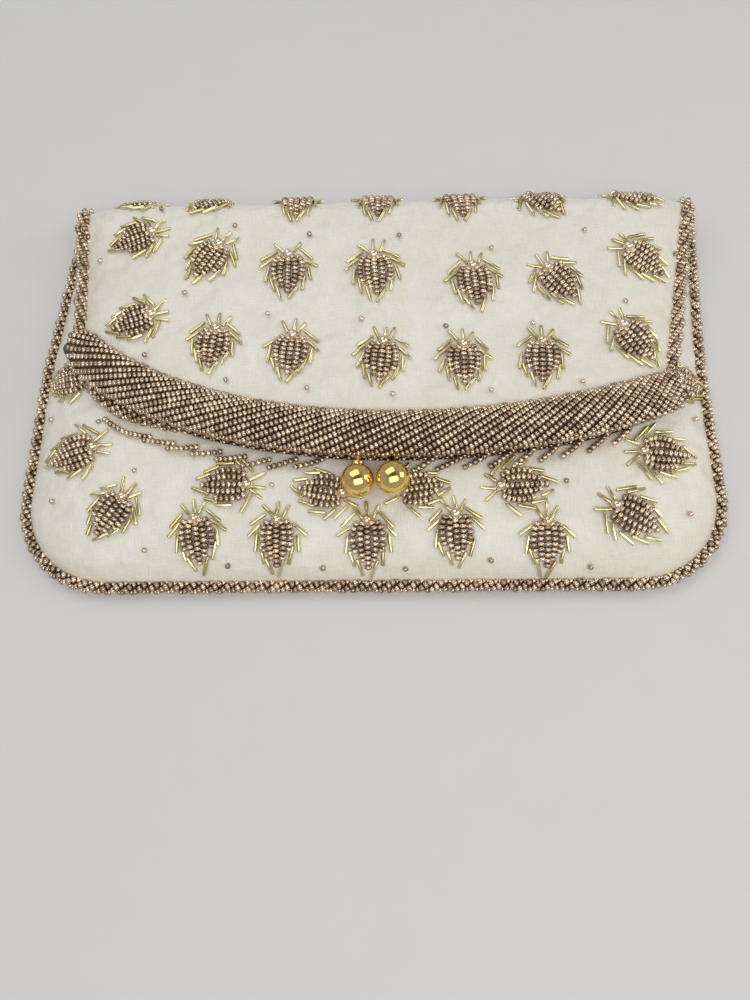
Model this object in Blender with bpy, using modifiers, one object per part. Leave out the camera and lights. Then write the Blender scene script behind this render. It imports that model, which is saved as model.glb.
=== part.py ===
"""Evening bag lying on its back: a beaded satin pouch with a fold-over flap on a two-arm kiss-lock frame.

The back slab, the front panel and the upper flap are sewn together round the sides and make the pouch.
The flap's lower edge carries the outer arm of the frame, and the front panel's upper edge carries the
inner arm. Both arms meet in a riveted hinge at each end of the mouth, and the outer arm, its bead roll,
its ball and the lip of the flap swing up together about the line through the two rivets.

Metres, +Z up, origin at the middle of the bag on the surface it lies on, +X to the bag's right and
+Y towards the fold.
"""
import math

import bmesh
import bpy
from mathutils import Vector

MM = 0.001

# The whole bag
BODY_WIDTH = 232 * MM  # over the beaded edge
BODY_DEPTH = 147 * MM  # from the beaded bottom edge to the trim round the fold
CORNER_RADIUS = 28 * MM  # of the fabric at the two bottom corners
CLEARANCE = 0.4 * MM  # between pieces that touch

# Places in plan are given in millimetres on a pattern of this size, and move with the body
PATTERN_WIDTH = 232.0
PATTERN_DEPTH = 147.0

# Cloth and its layers
SATIN = 0.7 * MM
INTERLINING = 0.6 * MM
LINING = 0.5 * MM
LAYER_GAP = 0.8 * MM  # between the curved layers of the front and the flap
BACK_SLAB = 2.0 * MM  # back satin with its beadwork

# Front panel: how it rises from the seam
SEAM_HEIGHT = 3.2 * MM
FRONT_HEIGHT = 13.0 * MM
FRONT_SWELL = 9.0 * MM  # distance over which it rises by two thirds
ROW_CROWDING = 1.7  # how much closer together its rows of faces lie at the seam

# Flap
FLAP_HEIGHT = 17.6 * MM
FLAP_SWELL = 11.0 * MM
FLAP_EDGE_INSET = 4.3 * MM  # flap side edge from the fabric edge, at the fold
FLAP_FLARE_POWER = 1.5  # how the side edge curves from the hinge out to the fold
FLAP_PAST_HINGE = 1.0 * MM  # flap side edge beyond the hinge
FOLD_UNDERSIDE = 4.0 * MM  # how far the fold wraps under the bag
FOLD_FLOOR = 0.5 * MM  # lowest point of the fold above the table

# Frame
HINGE_LEFT = (-97, 8)  # on the pattern
HINGE_RIGHT = (97, -10.5)
BOW_LEFT = (-57, -34)  # control points of the arm's bow, on the pattern
BOW_RIGHT = (48, -32)
HINGE_ABOVE_FRONT = 2.4 * MM  # hinge line above the crown of the front panel
ARM_RADIUS = 1.1 * MM
ARM_END_POWER = 8  # how late the arms come together at the hinges
INNER_ARM_BELOW_FRONT = 1.4 * MM  # inner arm below the crown of the front panel
ROLL_GAP = 0.2 * MM  # between the two bead rolls, over the width of the inner one
INNER_ARM_SETBACK = 4.5 * MM  # of the inner arm from the outer one, in plan
LUG_RADIUS = 2.6 * MM
LUG_THICKNESS = 2.4 * MM
ARM_ROOT_REACH = 4.6 * MM  # from the pin to where the rod turns into the bow
PIN_RADIUS = 0.8 * MM
PIN_HEAD_RADIUS = 1.9 * MM
PIN_HEAD_THICKNESS = 0.7 * MM
PIN_PLAY = 0.35 * MM  # round the pin and beside each lug
FLAP_PLAY = 3.5 * MM  # from the hinge line to the fixed flap
LIP_PLAY = 6.0 * MM  # from the hinge line to the moving lip, which swings up past the sprigs

# Bead rolls over the arms
OUTER_ROLL_HALF_WIDTH = 8.0 * MM
OUTER_ROLL_HALF_HEIGHT = 3.9 * MM
OUTER_ROLL_START = 0.06  # share of the arm left bare at each hinge
INNER_ROLL_RADIUS = 2.7 * MM
INNER_ROLL_START = 0.12

# Beaded trims
EDGE_TRIM_RADIUS = 1.7 * MM
EDGE_TRIM_Z = 2.3 * MM
FLAP_TRIM_RADIUS = 1.3 * MM
FLAP_TRIM_WRAP = math.radians(112)  # how far it runs round the fold
PICOT_RADIUS = 1.1 * MM
PICOT_GAP = 15.5 * MM  # from the middle of the clasp to the picot line on each side
PICOT_START = 0.10

# Clasp balls
BALL_RADIUS = 5.3 * MM
BALL_STEM_RADIUS = 0.9 * MM
BALL_GAP = 0.3 * MM  # between the two balls
BALL_RISE = 1.6 * MM  # inner ball above the outer one
STEM_LEAN = 50  # degrees above level, where the inner ball's stem leaves its roll
STEM_SHOWN = 3.2 * MM  # between the outer roll and the balls
CLASP_PLACE = 2.0  # middle of the clasp along X, on the pattern

# Leaf sprigs of beads: the pad that each one fills
SPRIG_LENGTH = 15 * MM
SPRIG_WIDTH = 11.5 * MM
SPRIG_THICKNESS = 1.5 * MM
SPRIG_LIFT = 0.6 * MM

# Each sprig: its place on the cloth, and the way its head points, in degrees clockwise from +Y
SPRIGS_ON_FLAP = {
    "fold": [(-85, 68, 80), (-58, 67, 40), (-26, 66, 0), (3, 66, 0), (31, 66, -5), (60, 67, -40), (91, 68, -65)],
    "upper": [(-83, 52, 72), (-56, 42, 32), (-28, 36, 0), (2, 35, -5), (36, 30, -6), (65, 29, -36), (94, 38, -54)],
    "lower": [(-80, 18, 74), (-52, 9.5, 8), (-26, 8, 5), (3, 5.5, 6), (31, 3, -1), (57, 2.5, 2), (89, 7, -38)],
}
SPRIGS_ON_FRONT = {
    "band": [(-99, -27, 74), (-48, -39, 88), (50, -41, -94), (96, -31, -87)],
    "hem": [(-85, -48, 34), (-54, -57, -5), (-29, -58, 0), (0, -59, -2), (27, -57, -3), (55, -59, 0), (85, -52, -55)],
    "side": [(-105, -3, 90, 0.6), (106, -4, -90, 0.5)],  # partly covered by the ends of the band
}

CLASP_SPRIG_HEADING = 99  # the two sprigs whose heads lie under the balls
CLASP_SPRIG_OUT = 0.55  # share of the ball's radius, from its middle to the sprig's head
CLASP_SPRIG_DOWN = 9.9 * MM  # along Y, from the balls' side nearest the roll to the sprig's middle

# Colours
IVORY = (0.83, 0.79, 0.68)
CHAMPAGNE = (0.72, 0.62, 0.45)
CANVAS = (0.60, 0.56, 0.47)
BRONZE = (0.30, 0.22, 0.12)
GOLD = (0.83, 0.60, 0.22)
STEEL = (0.55, 0.53, 0.50)

PLAN_X = BODY_WIDTH / PATTERN_WIDTH  # metres for each millimetre of the pattern
PLAN_Y = BODY_DEPTH / PATTERN_DEPTH
SPRIG_SCALE = min(PLAN_X, PLAN_Y) / MM
FABRIC_HALF_WIDTH = BODY_WIDTH / 2 - 2 * EDGE_TRIM_RADIUS - CLEARANCE
FABRIC_BOTTOM = -BODY_DEPTH / 2 + 2 * EDGE_TRIM_RADIUS + CLEARANCE
FOLD_Y = BODY_DEPTH / 2 - 2 * FLAP_TRIM_RADIUS - CLEARANCE
FLAP_HALF_WIDTH = FABRIC_HALF_WIDTH - FLAP_EDGE_INSET
EAR_TOP = FOLD_Y - 6 * MM
HINGE_Z = FRONT_HEIGHT + HINGE_ABOVE_FRONT
INNER_ARM_Z = FRONT_HEIGHT - INNER_ARM_BELOW_FRONT
OUTER_ARM_Z = INNER_ARM_Z + INNER_ROLL_RADIUS + ROLL_GAP + OUTER_ROLL_HALF_HEIGHT


# ---------------------------------------------------------------- helpers
def clear_scene():
    for item in list(bpy.data.objects):
        bpy.data.objects.remove(item, do_unlink=True)


def material(name, colour, metallic, roughness):
    finish = bpy.data.materials.new(name)
    finish.use_nodes = True
    shader = finish.node_tree.nodes["Principled BSDF"]
    shader.inputs["Base Color"].default_value = (*colour, 1.0)
    shader.inputs["Metallic"].default_value = metallic
    shader.inputs["Roughness"].default_value = roughness
    return finish


def add_object(name, data, finish, collection):
    item = bpy.data.objects.new(name, data)
    item.data.materials.append(finish)
    collection.objects.link(item)
    return item


def solidify(item, thickness, offset):
    shell = item.modifiers.new("Thickness", "SOLIDIFY")
    shell.thickness = thickness
    shell.offset = offset


def sheet(name, columns, rows, place, thickness, finish, collection, offset=-1.0):
    """A patch of cloth: a grid whose vertex (a, b), each from 0 to 1, goes to place(a, b)."""
    mesh = bmesh.new()
    bmesh.ops.create_grid(mesh, x_segments=columns, y_segments=rows, size=0.5)
    for vertex in mesh.verts:
        vertex.co = place(vertex.co.x + 0.5, vertex.co.y + 0.5)
    data = bpy.data.meshes.new(name)
    mesh.to_mesh(data)
    mesh.free()
    data.shade_smooth()
    item = add_object(name, data, finish, collection)
    solidify(item, thickness, offset)
    return item


def slab(name, outline, low, high, finish, collection):
    """A flat piece between two heights, from its outline."""
    data = bpy.data.curves.new(name, "CURVE")
    data.dimensions = "2D"
    data.fill_mode = "BOTH"
    data.extrude = (high - low) / 2
    spline = data.splines.new("POLY")
    spline.points.add(len(outline) - 1)
    for point, (x, y) in zip(spline.points, outline):
        point.co = (x, y, 0, 1)
    spline.use_cyclic_u = True
    item = add_object(name, data, finish, collection)
    item.location.z = (low + high) / 2
    return item


def tube(name, points, radius, resolution, finish, collection):
    """A round cord of one radius along a list of points."""
    data = bpy.data.curves.new(name, "CURVE")
    data.dimensions = "3D"
    data.bevel_depth = radius
    data.bevel_resolution = resolution
    data.use_fill_caps = True
    spline = data.splines.new("POLY")
    spline.points.add(len(points) - 1)
    for point, place in zip(spline.points, points):
        point.co = (*place, 1)
    return add_object(name, data, finish, collection)


def as_mesh(item):
    """Replace a curve object with the same shape as a welded mesh object."""
    name = item.name
    graph = bpy.context.evaluated_depsgraph_get()
    data = bpy.data.meshes.new_from_object(item.evaluated_get(graph))
    welded = bmesh.new()
    welded.from_mesh(data)
    bmesh.ops.remove_doubles(welded, verts=welded.verts, dist=0.001 * MM)
    welded.to_mesh(data)
    welded.free()
    place, collection = item.matrix_world.copy(), item.users_collection[0]
    bpy.data.objects.remove(item, do_unlink=True)
    result = bpy.data.objects.new(name, data)
    result.matrix_world = place
    collection.objects.link(result)
    return result


def boolean(item, other, operation):
    step = item.modifiers.new(operation.title(), "BOOLEAN")
    step.object = other
    step.operation = operation
    step.solver = "EXACT"


def cylinder(name, centre, direction, radius, length, cutters, sides=16):
    mesh = bmesh.new()
    bmesh.ops.create_cone(mesh, cap_ends=True, segments=sides, radius1=radius, radius2=radius, depth=length)
    data = bpy.data.meshes.new(name)
    mesh.to_mesh(data)
    mesh.free()
    item = bpy.data.objects.new(name, data)
    item.location = centre
    item.rotation_mode = "QUATERNION"
    item.rotation_quaternion = Vector((0, 0, 1)).rotation_difference(direction)
    item.hide_render = True
    item.display_type = "WIRE"
    cutters.objects.link(item)
    return item


def mix(low, high, share):
    return low + (high - low) * share


# ---------------------------------------------------------------- surfaces
def seam_inset(x, y):
    """How far a place lies inside the sewn edge of the two sides and the bottom."""
    side = FABRIC_HALF_WIDTH - abs(x)
    bottom = y - FABRIC_BOTTOM
    if side < CORNER_RADIUS and bottom < CORNER_RADIUS:
        return CORNER_RADIUS - math.hypot(CORNER_RADIUS - side, CORNER_RADIUS - bottom)
    return min(side, bottom)


def front_height(x, y):
    rise = 1 - math.exp(-max(seam_inset(x, y), 0) / FRONT_SWELL)
    return SEAM_HEIGHT + (FRONT_HEIGHT - SEAM_HEIGHT) * rise


def on_plan(place):
    """A place of the pattern, in metres on this bag."""
    return Vector((place[0] * PLAN_X, place[1] * PLAN_Y))


def hinge(side):
    """Middle of the hinge at the left (-1) or the right (+1) end of the mouth."""
    return Vector((*on_plan(HINGE_LEFT if side < 0 else HINGE_RIGHT), HINGE_Z))


def hinge_line_y(x):
    left, right = hinge(-1), hinge(1)
    return mix(left.y, right.y, (x - left.x) / (right.x - left.x))


def flap_half_width(y, side):
    """Half width of the flap, from the hinge on one side out to the fold."""
    start = hinge(side)
    share = min(max((y - start.y) / (FOLD_Y - start.y), 0), 1)
    flare = 1 - (1 - share) ** FLAP_FLARE_POWER
    return mix(abs(start.x) + FLAP_PAST_HINGE, FLAP_HALF_WIDTH, flare)


def flap_side_height(y, side):
    """Height of the satin's upper face where the flap's side lies on the front panel."""
    edge = flap_half_width(y, side)
    return front_height(side * edge, max(y, hinge(side).y)) + CLEARANCE + SATIN


def flap_height(x, y):
    side = -1 if x < 0 else 1
    edge = flap_half_width(y, side)
    low = flap_side_height(y, side)
    return low + (FLAP_HEIGHT - low) * (1 - math.exp(-max(edge - abs(x), 0) / FLAP_SWELL))


def fold_radius(x):
    return (flap_height(x, FOLD_Y) - FOLD_FLOOR) / 2


def flap_surface(x, y_flat, depth=0.0):
    """A place on the flap, `depth` below its upper face; past the fold, y_flat is measured round it."""
    radius = fold_radius(x)
    turn_y = FOLD_Y - radius
    if y_flat <= turn_y:
        return Vector((x, y_flat, flap_height(x, y_flat) - depth))
    angle = min((y_flat - turn_y) / radius, math.pi)
    beyond = max(y_flat - turn_y - math.pi * radius, 0)
    inner = radius - depth
    z_middle = flap_height(x, turn_y) - radius
    return Vector((x, turn_y - beyond + inner * math.sin(angle), z_middle + inner * math.cos(angle)))


def front_surface(x, y, depth=0.0):
    return Vector((x, y, front_height(x, y) - depth))


# ---------------------------------------------------------------- paths in plan
def bow(share):
    """The arm's bow in plan: a place and the unit direction across it, towards the fold."""
    corners = [on_plan(place) for place in (HINGE_LEFT, BOW_LEFT, BOW_RIGHT, HINGE_RIGHT)]
    rest = 1 - share
    place = (
        corners[0] * rest**3
        + corners[1] * (3 * rest**2 * share)
        + corners[2] * (3 * rest * share**2)
        + corners[3] * share**3
    )
    along = (
        (corners[1] - corners[0]) * rest**2
        + (corners[2] - corners[1]) * (2 * rest * share)
        + (corners[3] - corners[2]) * share**2
    ).normalized()
    return place, Vector((-along.y, along.x))


def spread(share):
    """0 where the arms meet at a hinge, 1 where they lie fully apart."""
    return 1 - abs(2 * share - 1) ** ARM_END_POWER


def outer_arm_place(share, across=0.0):
    place, sideways = bow(share)
    place = place + sideways * across
    return Vector((place.x, place.y, mix(HINGE_Z, OUTER_ARM_Z, spread(share))))


def inner_arm_place(share, across=0.0):
    place, sideways = bow(share)
    place = place + sideways * (across - INNER_ARM_SETBACK * spread(share))
    return Vector((place.x, place.y, mix(HINGE_Z, INNER_ARM_Z, spread(share))))


def seam_point(share, inset):
    """A place along the sewn edge, from the top of the left side round the bottom to the right."""
    half = FABRIC_HALF_WIDTH - inset
    bottom = FABRIC_BOTTOM + inset
    radius = max(CORNER_RADIUS - inset, 1 * MM)
    side_end = bottom + radius
    if share <= 0.3:
        return Vector((-half, mix(EAR_TOP, side_end, share / 0.3)))
    if share < 0.4:
        angle = (share - 0.3) / 0.1 * math.pi / 2
        return Vector((-half + radius * (1 - math.cos(angle)), side_end - radius * math.sin(angle)))
    if share <= 0.6:
        return Vector((mix(-half + radius, half - radius, (share - 0.4) / 0.2), bottom))
    mirrored = seam_point(1 - share, inset)
    return Vector((-mirrored.x, mirrored.y))


def mouth_edge_point(share, gap):
    """The front panel's inner edge: down the left ear, along the inner roll and up the right ear."""
    side = -1 if share < 0.5 else 1
    near = min(share, 1 - share)
    foot = inner_arm_place(0 if side < 0 else 1, -gap)
    if near < 0.2:
        ear = near / 0.2
        top_x = side * (FLAP_HALF_WIDTH - 5.5 * MM + (gap - mouth_gap()))
        return Vector((mix(top_x, foot.x, ear), mix(EAR_TOP, foot.y, ear)))
    along = (share - 0.2) / 0.6
    place = inner_arm_place(along, -gap)
    return Vector((place.x, place.y))


def mouth_gap():
    return INNER_ROLL_RADIUS + CLEARANCE


# ---------------------------------------------------------------- back of the bag
def body_outline(inset, top):
    points = [seam_point(0.3 + 0.4 * i / 40, inset) for i in range(41)]
    half = FABRIC_HALF_WIDTH - inset
    return [(-half, top)] + [(p.x, p.y) for p in points] + [(half, top)]


def make_back(parts, finishes):
    top = FOLD_Y - (FLAP_HEIGHT - FOLD_FLOOR) / 2 - FOLD_UNDERSIDE - CLEARANCE
    slab("back_panel", body_outline(0, top), 0, BACK_SLAB, finishes["satin"], parts)
    low = BACK_SLAB + CLEARANCE
    slab("back_interlining", body_outline(5 * MM, top), low, low + INTERLINING, finishes["canvas"], parts)
    low += INTERLINING + CLEARANCE
    slab("back_lining", body_outline(6 * MM, top), low, low + LINING, finishes["lining"], parts)


# ---------------------------------------------------------------- front of the bag
def make_front(parts, finishes):
    layers = [
        ("front_panel", 0, 0, 40, 6, SATIN, "satin"),
        ("front_interlining", 8 * MM, SATIN + LAYER_GAP, 40, 4, INTERLINING, "canvas"),
        ("front_lining", 9 * MM, SATIN + INTERLINING + 2 * LAYER_GAP, 40, 4, LINING, "lining"),
    ]
    for name, inset, depth, columns, rows, thickness, finish in layers:

        def place(a, b, inset=inset, depth=depth):
            outer = seam_point(a, inset)
            inner = mouth_edge_point(a, mouth_gap())
            spot = outer.lerp(inner, b**ROW_CROWDING)
            return front_surface(spot.x, spot.y, depth)

        sheet(name, columns, rows, place, thickness, finishes[finish], parts)


# ---------------------------------------------------------------- flap
def across_flap(a, y_flat, inset):
    """Sideways place on the flap for a from 0 (left) to 1 (right), closer together at the sides."""
    s = math.sin((a - 0.5) * math.pi)
    side = -1 if s < 0 else 1
    return s * (flap_half_width(min(y_flat, FOLD_Y), side) - inset)


def flap_sheet(name, inset, depth, start, wrap, columns, flat_rows, fold_rows, thickness, finish, parts):
    """A layer of the flap from near the hinge line to the fold and `wrap` radians round it."""
    rows = flat_rows + fold_rows

    def place(a, b):
        row = b * rows
        x = across_flap(a, FOLD_Y, inset)
        radius = fold_radius(x)
        turn_y = FOLD_Y - radius
        if row <= flat_rows + 1e-6:
            share = row / flat_rows
            low = hinge_line_y(x) + start
            x = across_flap(a, mix(low, turn_y, share), inset)
            low = hinge_line_y(x) + start
            return flap_surface(x, mix(low, turn_y, share), depth)
        turned = (row - flat_rows) / fold_rows * wrap
        reach = min(turned, math.pi) * radius + max(turned - math.pi, 0) * FOLD_UNDERSIDE
        return flap_surface(x, turn_y + reach, depth)

    return sheet(name, columns, rows, place, thickness, finish, parts)


def make_flap(parts, finishes):
    full_wrap = math.pi + 1.0  # past half a turn, one radian stands for the length of the underside
    flap_sheet("flap_panel", 0, 0, FLAP_PLAY, full_wrap, 18, 5, 9, SATIN, finishes["satin"], parts)
    depth = SATIN + LAYER_GAP
    flap_sheet("flap_interlining", 10 * MM, depth, FLAP_PLAY, 0.3, 14, 3, 1, INTERLINING, finishes["canvas"], parts)
    depth += INTERLINING + LAYER_GAP
    flap_sheet("flap_lining", 9 * MM, depth, FLAP_PLAY, 2.4, 14, 3, 5, LINING, finishes["lining"], parts)


def lip_span():
    """Shares of the arm between which there is room for the flap's lip above the outer roll."""
    steps = [i / 400 for i in range(401)]
    room = []
    for share in steps:
        edge = outer_arm_place(share, outer_roll_size(share)[0] + CLEARANCE)
        if hinge_line_y(edge.x) - LIP_PLAY - edge.y > 2 * MM:
            room.append(share)
    return room[0], room[-1]


def make_lip(parts, finishes):
    first, last = lip_span()
    layers = [
        ("flap_lip_panel", 0, SATIN, "satin"),
        ("flap_lip_lining", SATIN + INTERLINING + 2 * LAYER_GAP, LINING, "lining"),
    ]
    for name, depth, thickness, finish in layers:

        def place(a, b, depth=depth):
            share = mix(first, last, a)
            edge = outer_arm_place(share, outer_roll_size(share)[0] + CLEARANCE)
            y = mix(edge.y, hinge_line_y(edge.x) - LIP_PLAY, b)
            return Vector((edge.x, y, flap_height(edge.x, y) - depth))

        sheet(name, 18, 2, place, thickness, finishes[finish], parts)


# ---------------------------------------------------------------- frame
def hinge_outward(side):
    return (hinge(side) - hinge(-side)).normalized()


def arm_root(side, lug_step):
    """Two points of the rod at one lug: inside its rim, and clear of the other arm's lug."""
    outward = hinge_outward(side)
    centre = hinge(side) + outward * lug_step
    forward = Vector((outward.y, -outward.x, 0)) * side
    down = (forward * 0.8 + Vector((0, 0, math.copysign(0.6, lug_step)))).normalized()
    return [centre + down * (0.65 * LUG_RADIUS), centre + down * ARM_ROOT_REACH]


def arm(name, place, lug_step, parts, cutters, finish):
    """A bowed rod with a pierced lug at each end; lug_step is how far outward its lugs stand."""
    start = OUTER_ROLL_START
    points = arm_root(-1, lug_step)
    points += [place(mix(start, 1 - start, i / 30)) for i in range(31)]
    points += reversed(arm_root(1, lug_step))
    item = as_mesh(tube(name, points, ARM_RADIUS, 1, finish, parts))
    for side, word in ((-1, "left"), (1, "right")):
        centre = hinge(side) + hinge_outward(side) * lug_step
        lug = cylinder(f"{name}_lug_{word}", centre, hinge_outward(side), LUG_RADIUS, LUG_THICKNESS, cutters)
        boolean(item, lug, "UNION")
    for side, word in ((-1, "left"), (1, "right")):
        centre = hinge(side) + hinge_outward(side) * lug_step
        hole = cylinder(
            f"{name}_hole_{word}", centre, hinge_outward(side), PIN_RADIUS + PIN_PLAY, 2 * LUG_THICKNESS, cutters
        )
        boolean(item, hole, "DIFFERENCE")
    return item


def make_rivet(side, parts, finish):
    """A pin with a head at each end, turned about the hinge line."""
    word = "left" if side < 0 else "right"
    half = LUG_THICKNESS + 1.5 * PIN_PLAY
    full = half + PIN_HEAD_THICKNESS
    profile = [(0, full), (PIN_HEAD_RADIUS, full), (PIN_HEAD_RADIUS, half), (PIN_RADIUS, half)]
    profile += [(r, -z) for r, z in reversed(profile)]
    mesh = bmesh.new()
    line = [mesh.verts.new((r, 0, z)) for r, z in profile]
    for low, high in zip(line, line[1:]):
        mesh.edges.new((low, high))
    data = bpy.data.meshes.new(f"hinge_rivet_{word}")
    mesh.to_mesh(data)
    mesh.free()
    item = add_object(f"hinge_rivet_{word}", data, finish, parts)
    turn = item.modifiers.new("Turn", "SCREW")
    turn.axis = "Z"
    turn.steps = turn.render_steps = 12
    turn.use_merge_vertices = True
    turn.merge_threshold = 0.001 * MM
    item.location = hinge(side)
    item.rotation_mode = "QUATERNION"
    item.rotation_quaternion = Vector((0, 0, 1)).rotation_difference(hinge_outward(side))


def outer_roll_size(share):
    """Half width and half height of the outer bead roll, which tapers to the hinges."""
    taper = max(1 - abs(2 * share - 1) ** 7, 0) ** 0.8
    return OUTER_ROLL_HALF_WIDTH * taper, OUTER_ROLL_HALF_HEIGHT * taper


def inner_roll_size(share):
    return INNER_ROLL_RADIUS, INNER_ROLL_RADIUS


def sleeve(name, place, size, start, stations, sides, finish, collection):
    """A bead roll with a bore for its arm: one closed surface, out along the roll and back down the bore."""
    bore = ARM_RADIUS + CLEARANCE

    def spot(a, b):
        ring = b * (2 * stations)
        forward = ring < stations - 0.5 or ring > 2 * stations - 0.5
        step = ring % (2 * stations)
        along = step / (stations - 1) if forward else (2 * stations - 1 - step) / (stations - 1)
        share = mix(start, 1 - start, along)
        half_width, half_height = size(share) if forward else (bore, bore)
        angle = 2 * math.pi * a
        centre = place(share)
        edge = place(share, half_width * math.cos(angle))
        return Vector((edge.x, edge.y, centre.z + half_height * math.sin(angle)))

    mesh = bmesh.new()
    bmesh.ops.create_grid(mesh, x_segments=sides, y_segments=2 * stations, size=0.5)
    for vertex in mesh.verts:
        vertex.co = spot(vertex.co.x + 0.5, vertex.co.y + 0.5)
    bmesh.ops.remove_doubles(mesh, verts=mesh.verts, dist=0.001 * MM)
    bmesh.ops.recalc_face_normals(mesh, faces=mesh.faces)
    data = bpy.data.meshes.new(name)
    mesh.to_mesh(data)
    mesh.free()
    data.shade_smooth()
    return add_object(name, data, finish, collection)


def make_frame(parts, cutters, finishes):
    lug_step = (LUG_THICKNESS + PIN_PLAY) / 2
    arm("frame_outer_arm", outer_arm_place, lug_step, parts, cutters, finishes["frame"])
    arm("frame_inner_arm", inner_arm_place, -lug_step, parts, cutters, finishes["frame"])
    for side in (-1, 1):
        make_rivet(side, parts, finishes["frame"])
    beads = finishes["beads"]
    sleeve("outer_bead_roll", outer_arm_place, outer_roll_size, OUTER_ROLL_START, 28, 10, beads, parts)
    sleeve("inner_bead_roll", inner_arm_place, inner_roll_size, INNER_ROLL_START, 26, 8, beads, parts)


def ball_with_stem(name, centre, foot, parts, cutters, finish):
    """A clasp ball on a short stem that ends just clear of the roll it stands on."""
    mesh = bmesh.new()
    bmesh.ops.create_uvsphere(mesh, u_segments=18, v_segments=12, radius=BALL_RADIUS)
    data = bpy.data.meshes.new(name)
    mesh.to_mesh(data)
    mesh.free()
    data.shade_smooth()
    item = add_object(name, data, finish, parts)
    item.location = centre
    reach = foot - centre
    stem = cylinder(f"{name}_stem", centre + reach / 2, reach.normalized(), BALL_STEM_RADIUS, reach.length, cutters, 10)
    boolean(item, stem, "UNION")


def clasp_middle():
    return on_plan((CLASP_PLACE, 0)).x


def ball_place(side):
    """Middle of the outer ball (-1, on the left) or the inner ball (+1, on the right)."""
    step = BALL_RADIUS + BALL_GAP / 2
    outer_x = clasp_middle() - step
    roll_side = outer_arm_place(nearest_share(outer_x), -OUTER_ROLL_HALF_WIDTH)
    height = FRONT_HEIGHT + CLEARANCE + BALL_RADIUS + (BALL_RISE if side > 0 else 0)
    return Vector((clasp_middle() + side * step, roll_side.y - STEM_SHOWN - BALL_RADIUS, height))


def make_clasp(parts, cutters, finishes):
    gold = finishes["gold"]
    ball = ball_place(-1)
    roll_side = outer_arm_place(nearest_share(ball.x), -OUTER_ROLL_HALF_WIDTH)
    foot = Vector((ball.x, roll_side.y - CLEARANCE, roll_side.z))
    ball_with_stem("clasp_ball_outer", ball, foot, parts, cutters, gold)

    ball = ball_place(1)
    lean = math.radians(STEM_LEAN)
    reach = INNER_ROLL_RADIUS + 1.5 * CLEARANCE
    beside_roll = inner_arm_place(nearest_share(ball.x), -math.cos(lean) * reach)
    foot = beside_roll + Vector((0, 0, math.sin(lean) * reach))
    ball_with_stem("clasp_ball_inner", ball, foot, parts, cutters, gold)


def nearest_share(x):
    """Share of the arm at a sideways place."""
    return min((i / 400 for i in range(401)), key=lambda share: abs(outer_arm_place(share).x - x))


# ---------------------------------------------------------------- trims
def make_edge_trim(parts, finish):
    """The bead edging: down the left side, along the bottom and up the right side."""
    out = -(EDGE_TRIM_RADIUS + CLEARANCE)
    points = []
    for i in range(57):
        spot = seam_point(i / 56, out)
        points.append((spot.x, spot.y, EDGE_TRIM_Z))
    tube("body_edge_trim", points, EDGE_TRIM_RADIUS, 1, finish, parts)


def make_flap_trims(parts, finish):
    """The bead edging of the flap: from above each hinge up the side and round the fold."""
    for side, word in ((-1, "left"), (1, "right")):
        out = FLAP_TRIM_RADIUS + CLEARANCE
        start = hinge(side).y + LUG_RADIUS + 2 * MM
        radius = fold_radius(side * FLAP_HALF_WIDTH)
        turn_y = FOLD_Y - radius
        wrap = FOLD_FLOOR + radius
        points = []
        for i in range(9):
            y = mix(start, turn_y, i / 8)
            x = side * (flap_half_width(y, side) + out)
            z = max(front_height(x, y) + 1.4 * out, flap_side_height(y, side) - SATIN)
            points.append((x, y, mix(z, wrap + radius + out, (i / 8) ** 4)))
        x, reach = points[-1][0], radius + out
        for i in range(1, 8):
            angle = FLAP_TRIM_WRAP * i / 7
            points.append((x, turn_y + reach * math.sin(angle), wrap + reach * math.cos(angle)))
        tube(f"flap_trim_{word}", points, FLAP_TRIM_RADIUS, 1, finish, parts)


def picot_place(share):
    setback = mouth_gap() + PICOT_RADIUS + CLEARANCE
    spot = inner_arm_place(share, -setback)
    return Vector((spot.x, spot.y, front_height(spot.x, spot.y) + CLEARANCE + PICOT_RADIUS))


def make_picot_lines(parts, finish):
    """The line of bead picots on the front panel below the mouth, left and right of the clasp."""
    spans = {
        "mouth_picots_left": (PICOT_START, nearest_share(clasp_middle() - PICOT_GAP)),
        "mouth_picots_right": (nearest_share(clasp_middle() + PICOT_GAP), 1 - PICOT_START),
    }
    for name, (first, last) in spans.items():
        points = [picot_place(mix(first, last, i / 14)) for i in range(15)]
        tube(name, points, PICOT_RADIUS, 1, finish, parts)


# ---------------------------------------------------------------- sprigs
def sprig_pad(name, surface, x, y, heading, size, finish, parts):
    """The pad of one leaf sprig, egg-shaped and laid on the cloth."""
    turn = math.radians(heading)
    ahead = Vector((math.sin(turn), math.cos(turn)))
    across = Vector((ahead.y, -ahead.x))

    def place(a, b):
        p, q = 2 * a - 1, 2 * b - 1
        p, q = p * math.sqrt(1 - q * q / 2), q * math.sqrt(1 - p * p / 2)
        spot = Vector((x, y)) + across * (p * size * SPRIG_WIDTH / 2) + ahead * (q * size * SPRIG_LENGTH / 2)
        step = 0.1 * MM
        here = surface(spot.x, spot.y)
        slope_x = surface(spot.x + step, spot.y) - here
        slope_y = surface(spot.x, spot.y + step) - here
        return here + slope_x.cross(slope_y).normalized() * SPRIG_LIFT

    sheet(name, 3, 4, place, SPRIG_THICKNESS, finish, parts, offset=1.0)


def below_picots(place):
    """The same place, moved down where a sprig there would touch the picot line."""
    line_y = min((picot_place(i / 100) for i in range(12, 89)), key=lambda spot: abs(spot.x - place.x)).y
    clear = SPRIG_WIDTH / 2 * SPRIG_SCALE + PICOT_RADIUS + CLEARANCE
    return Vector((place.x, min(place.y, line_y - clear)))


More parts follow.
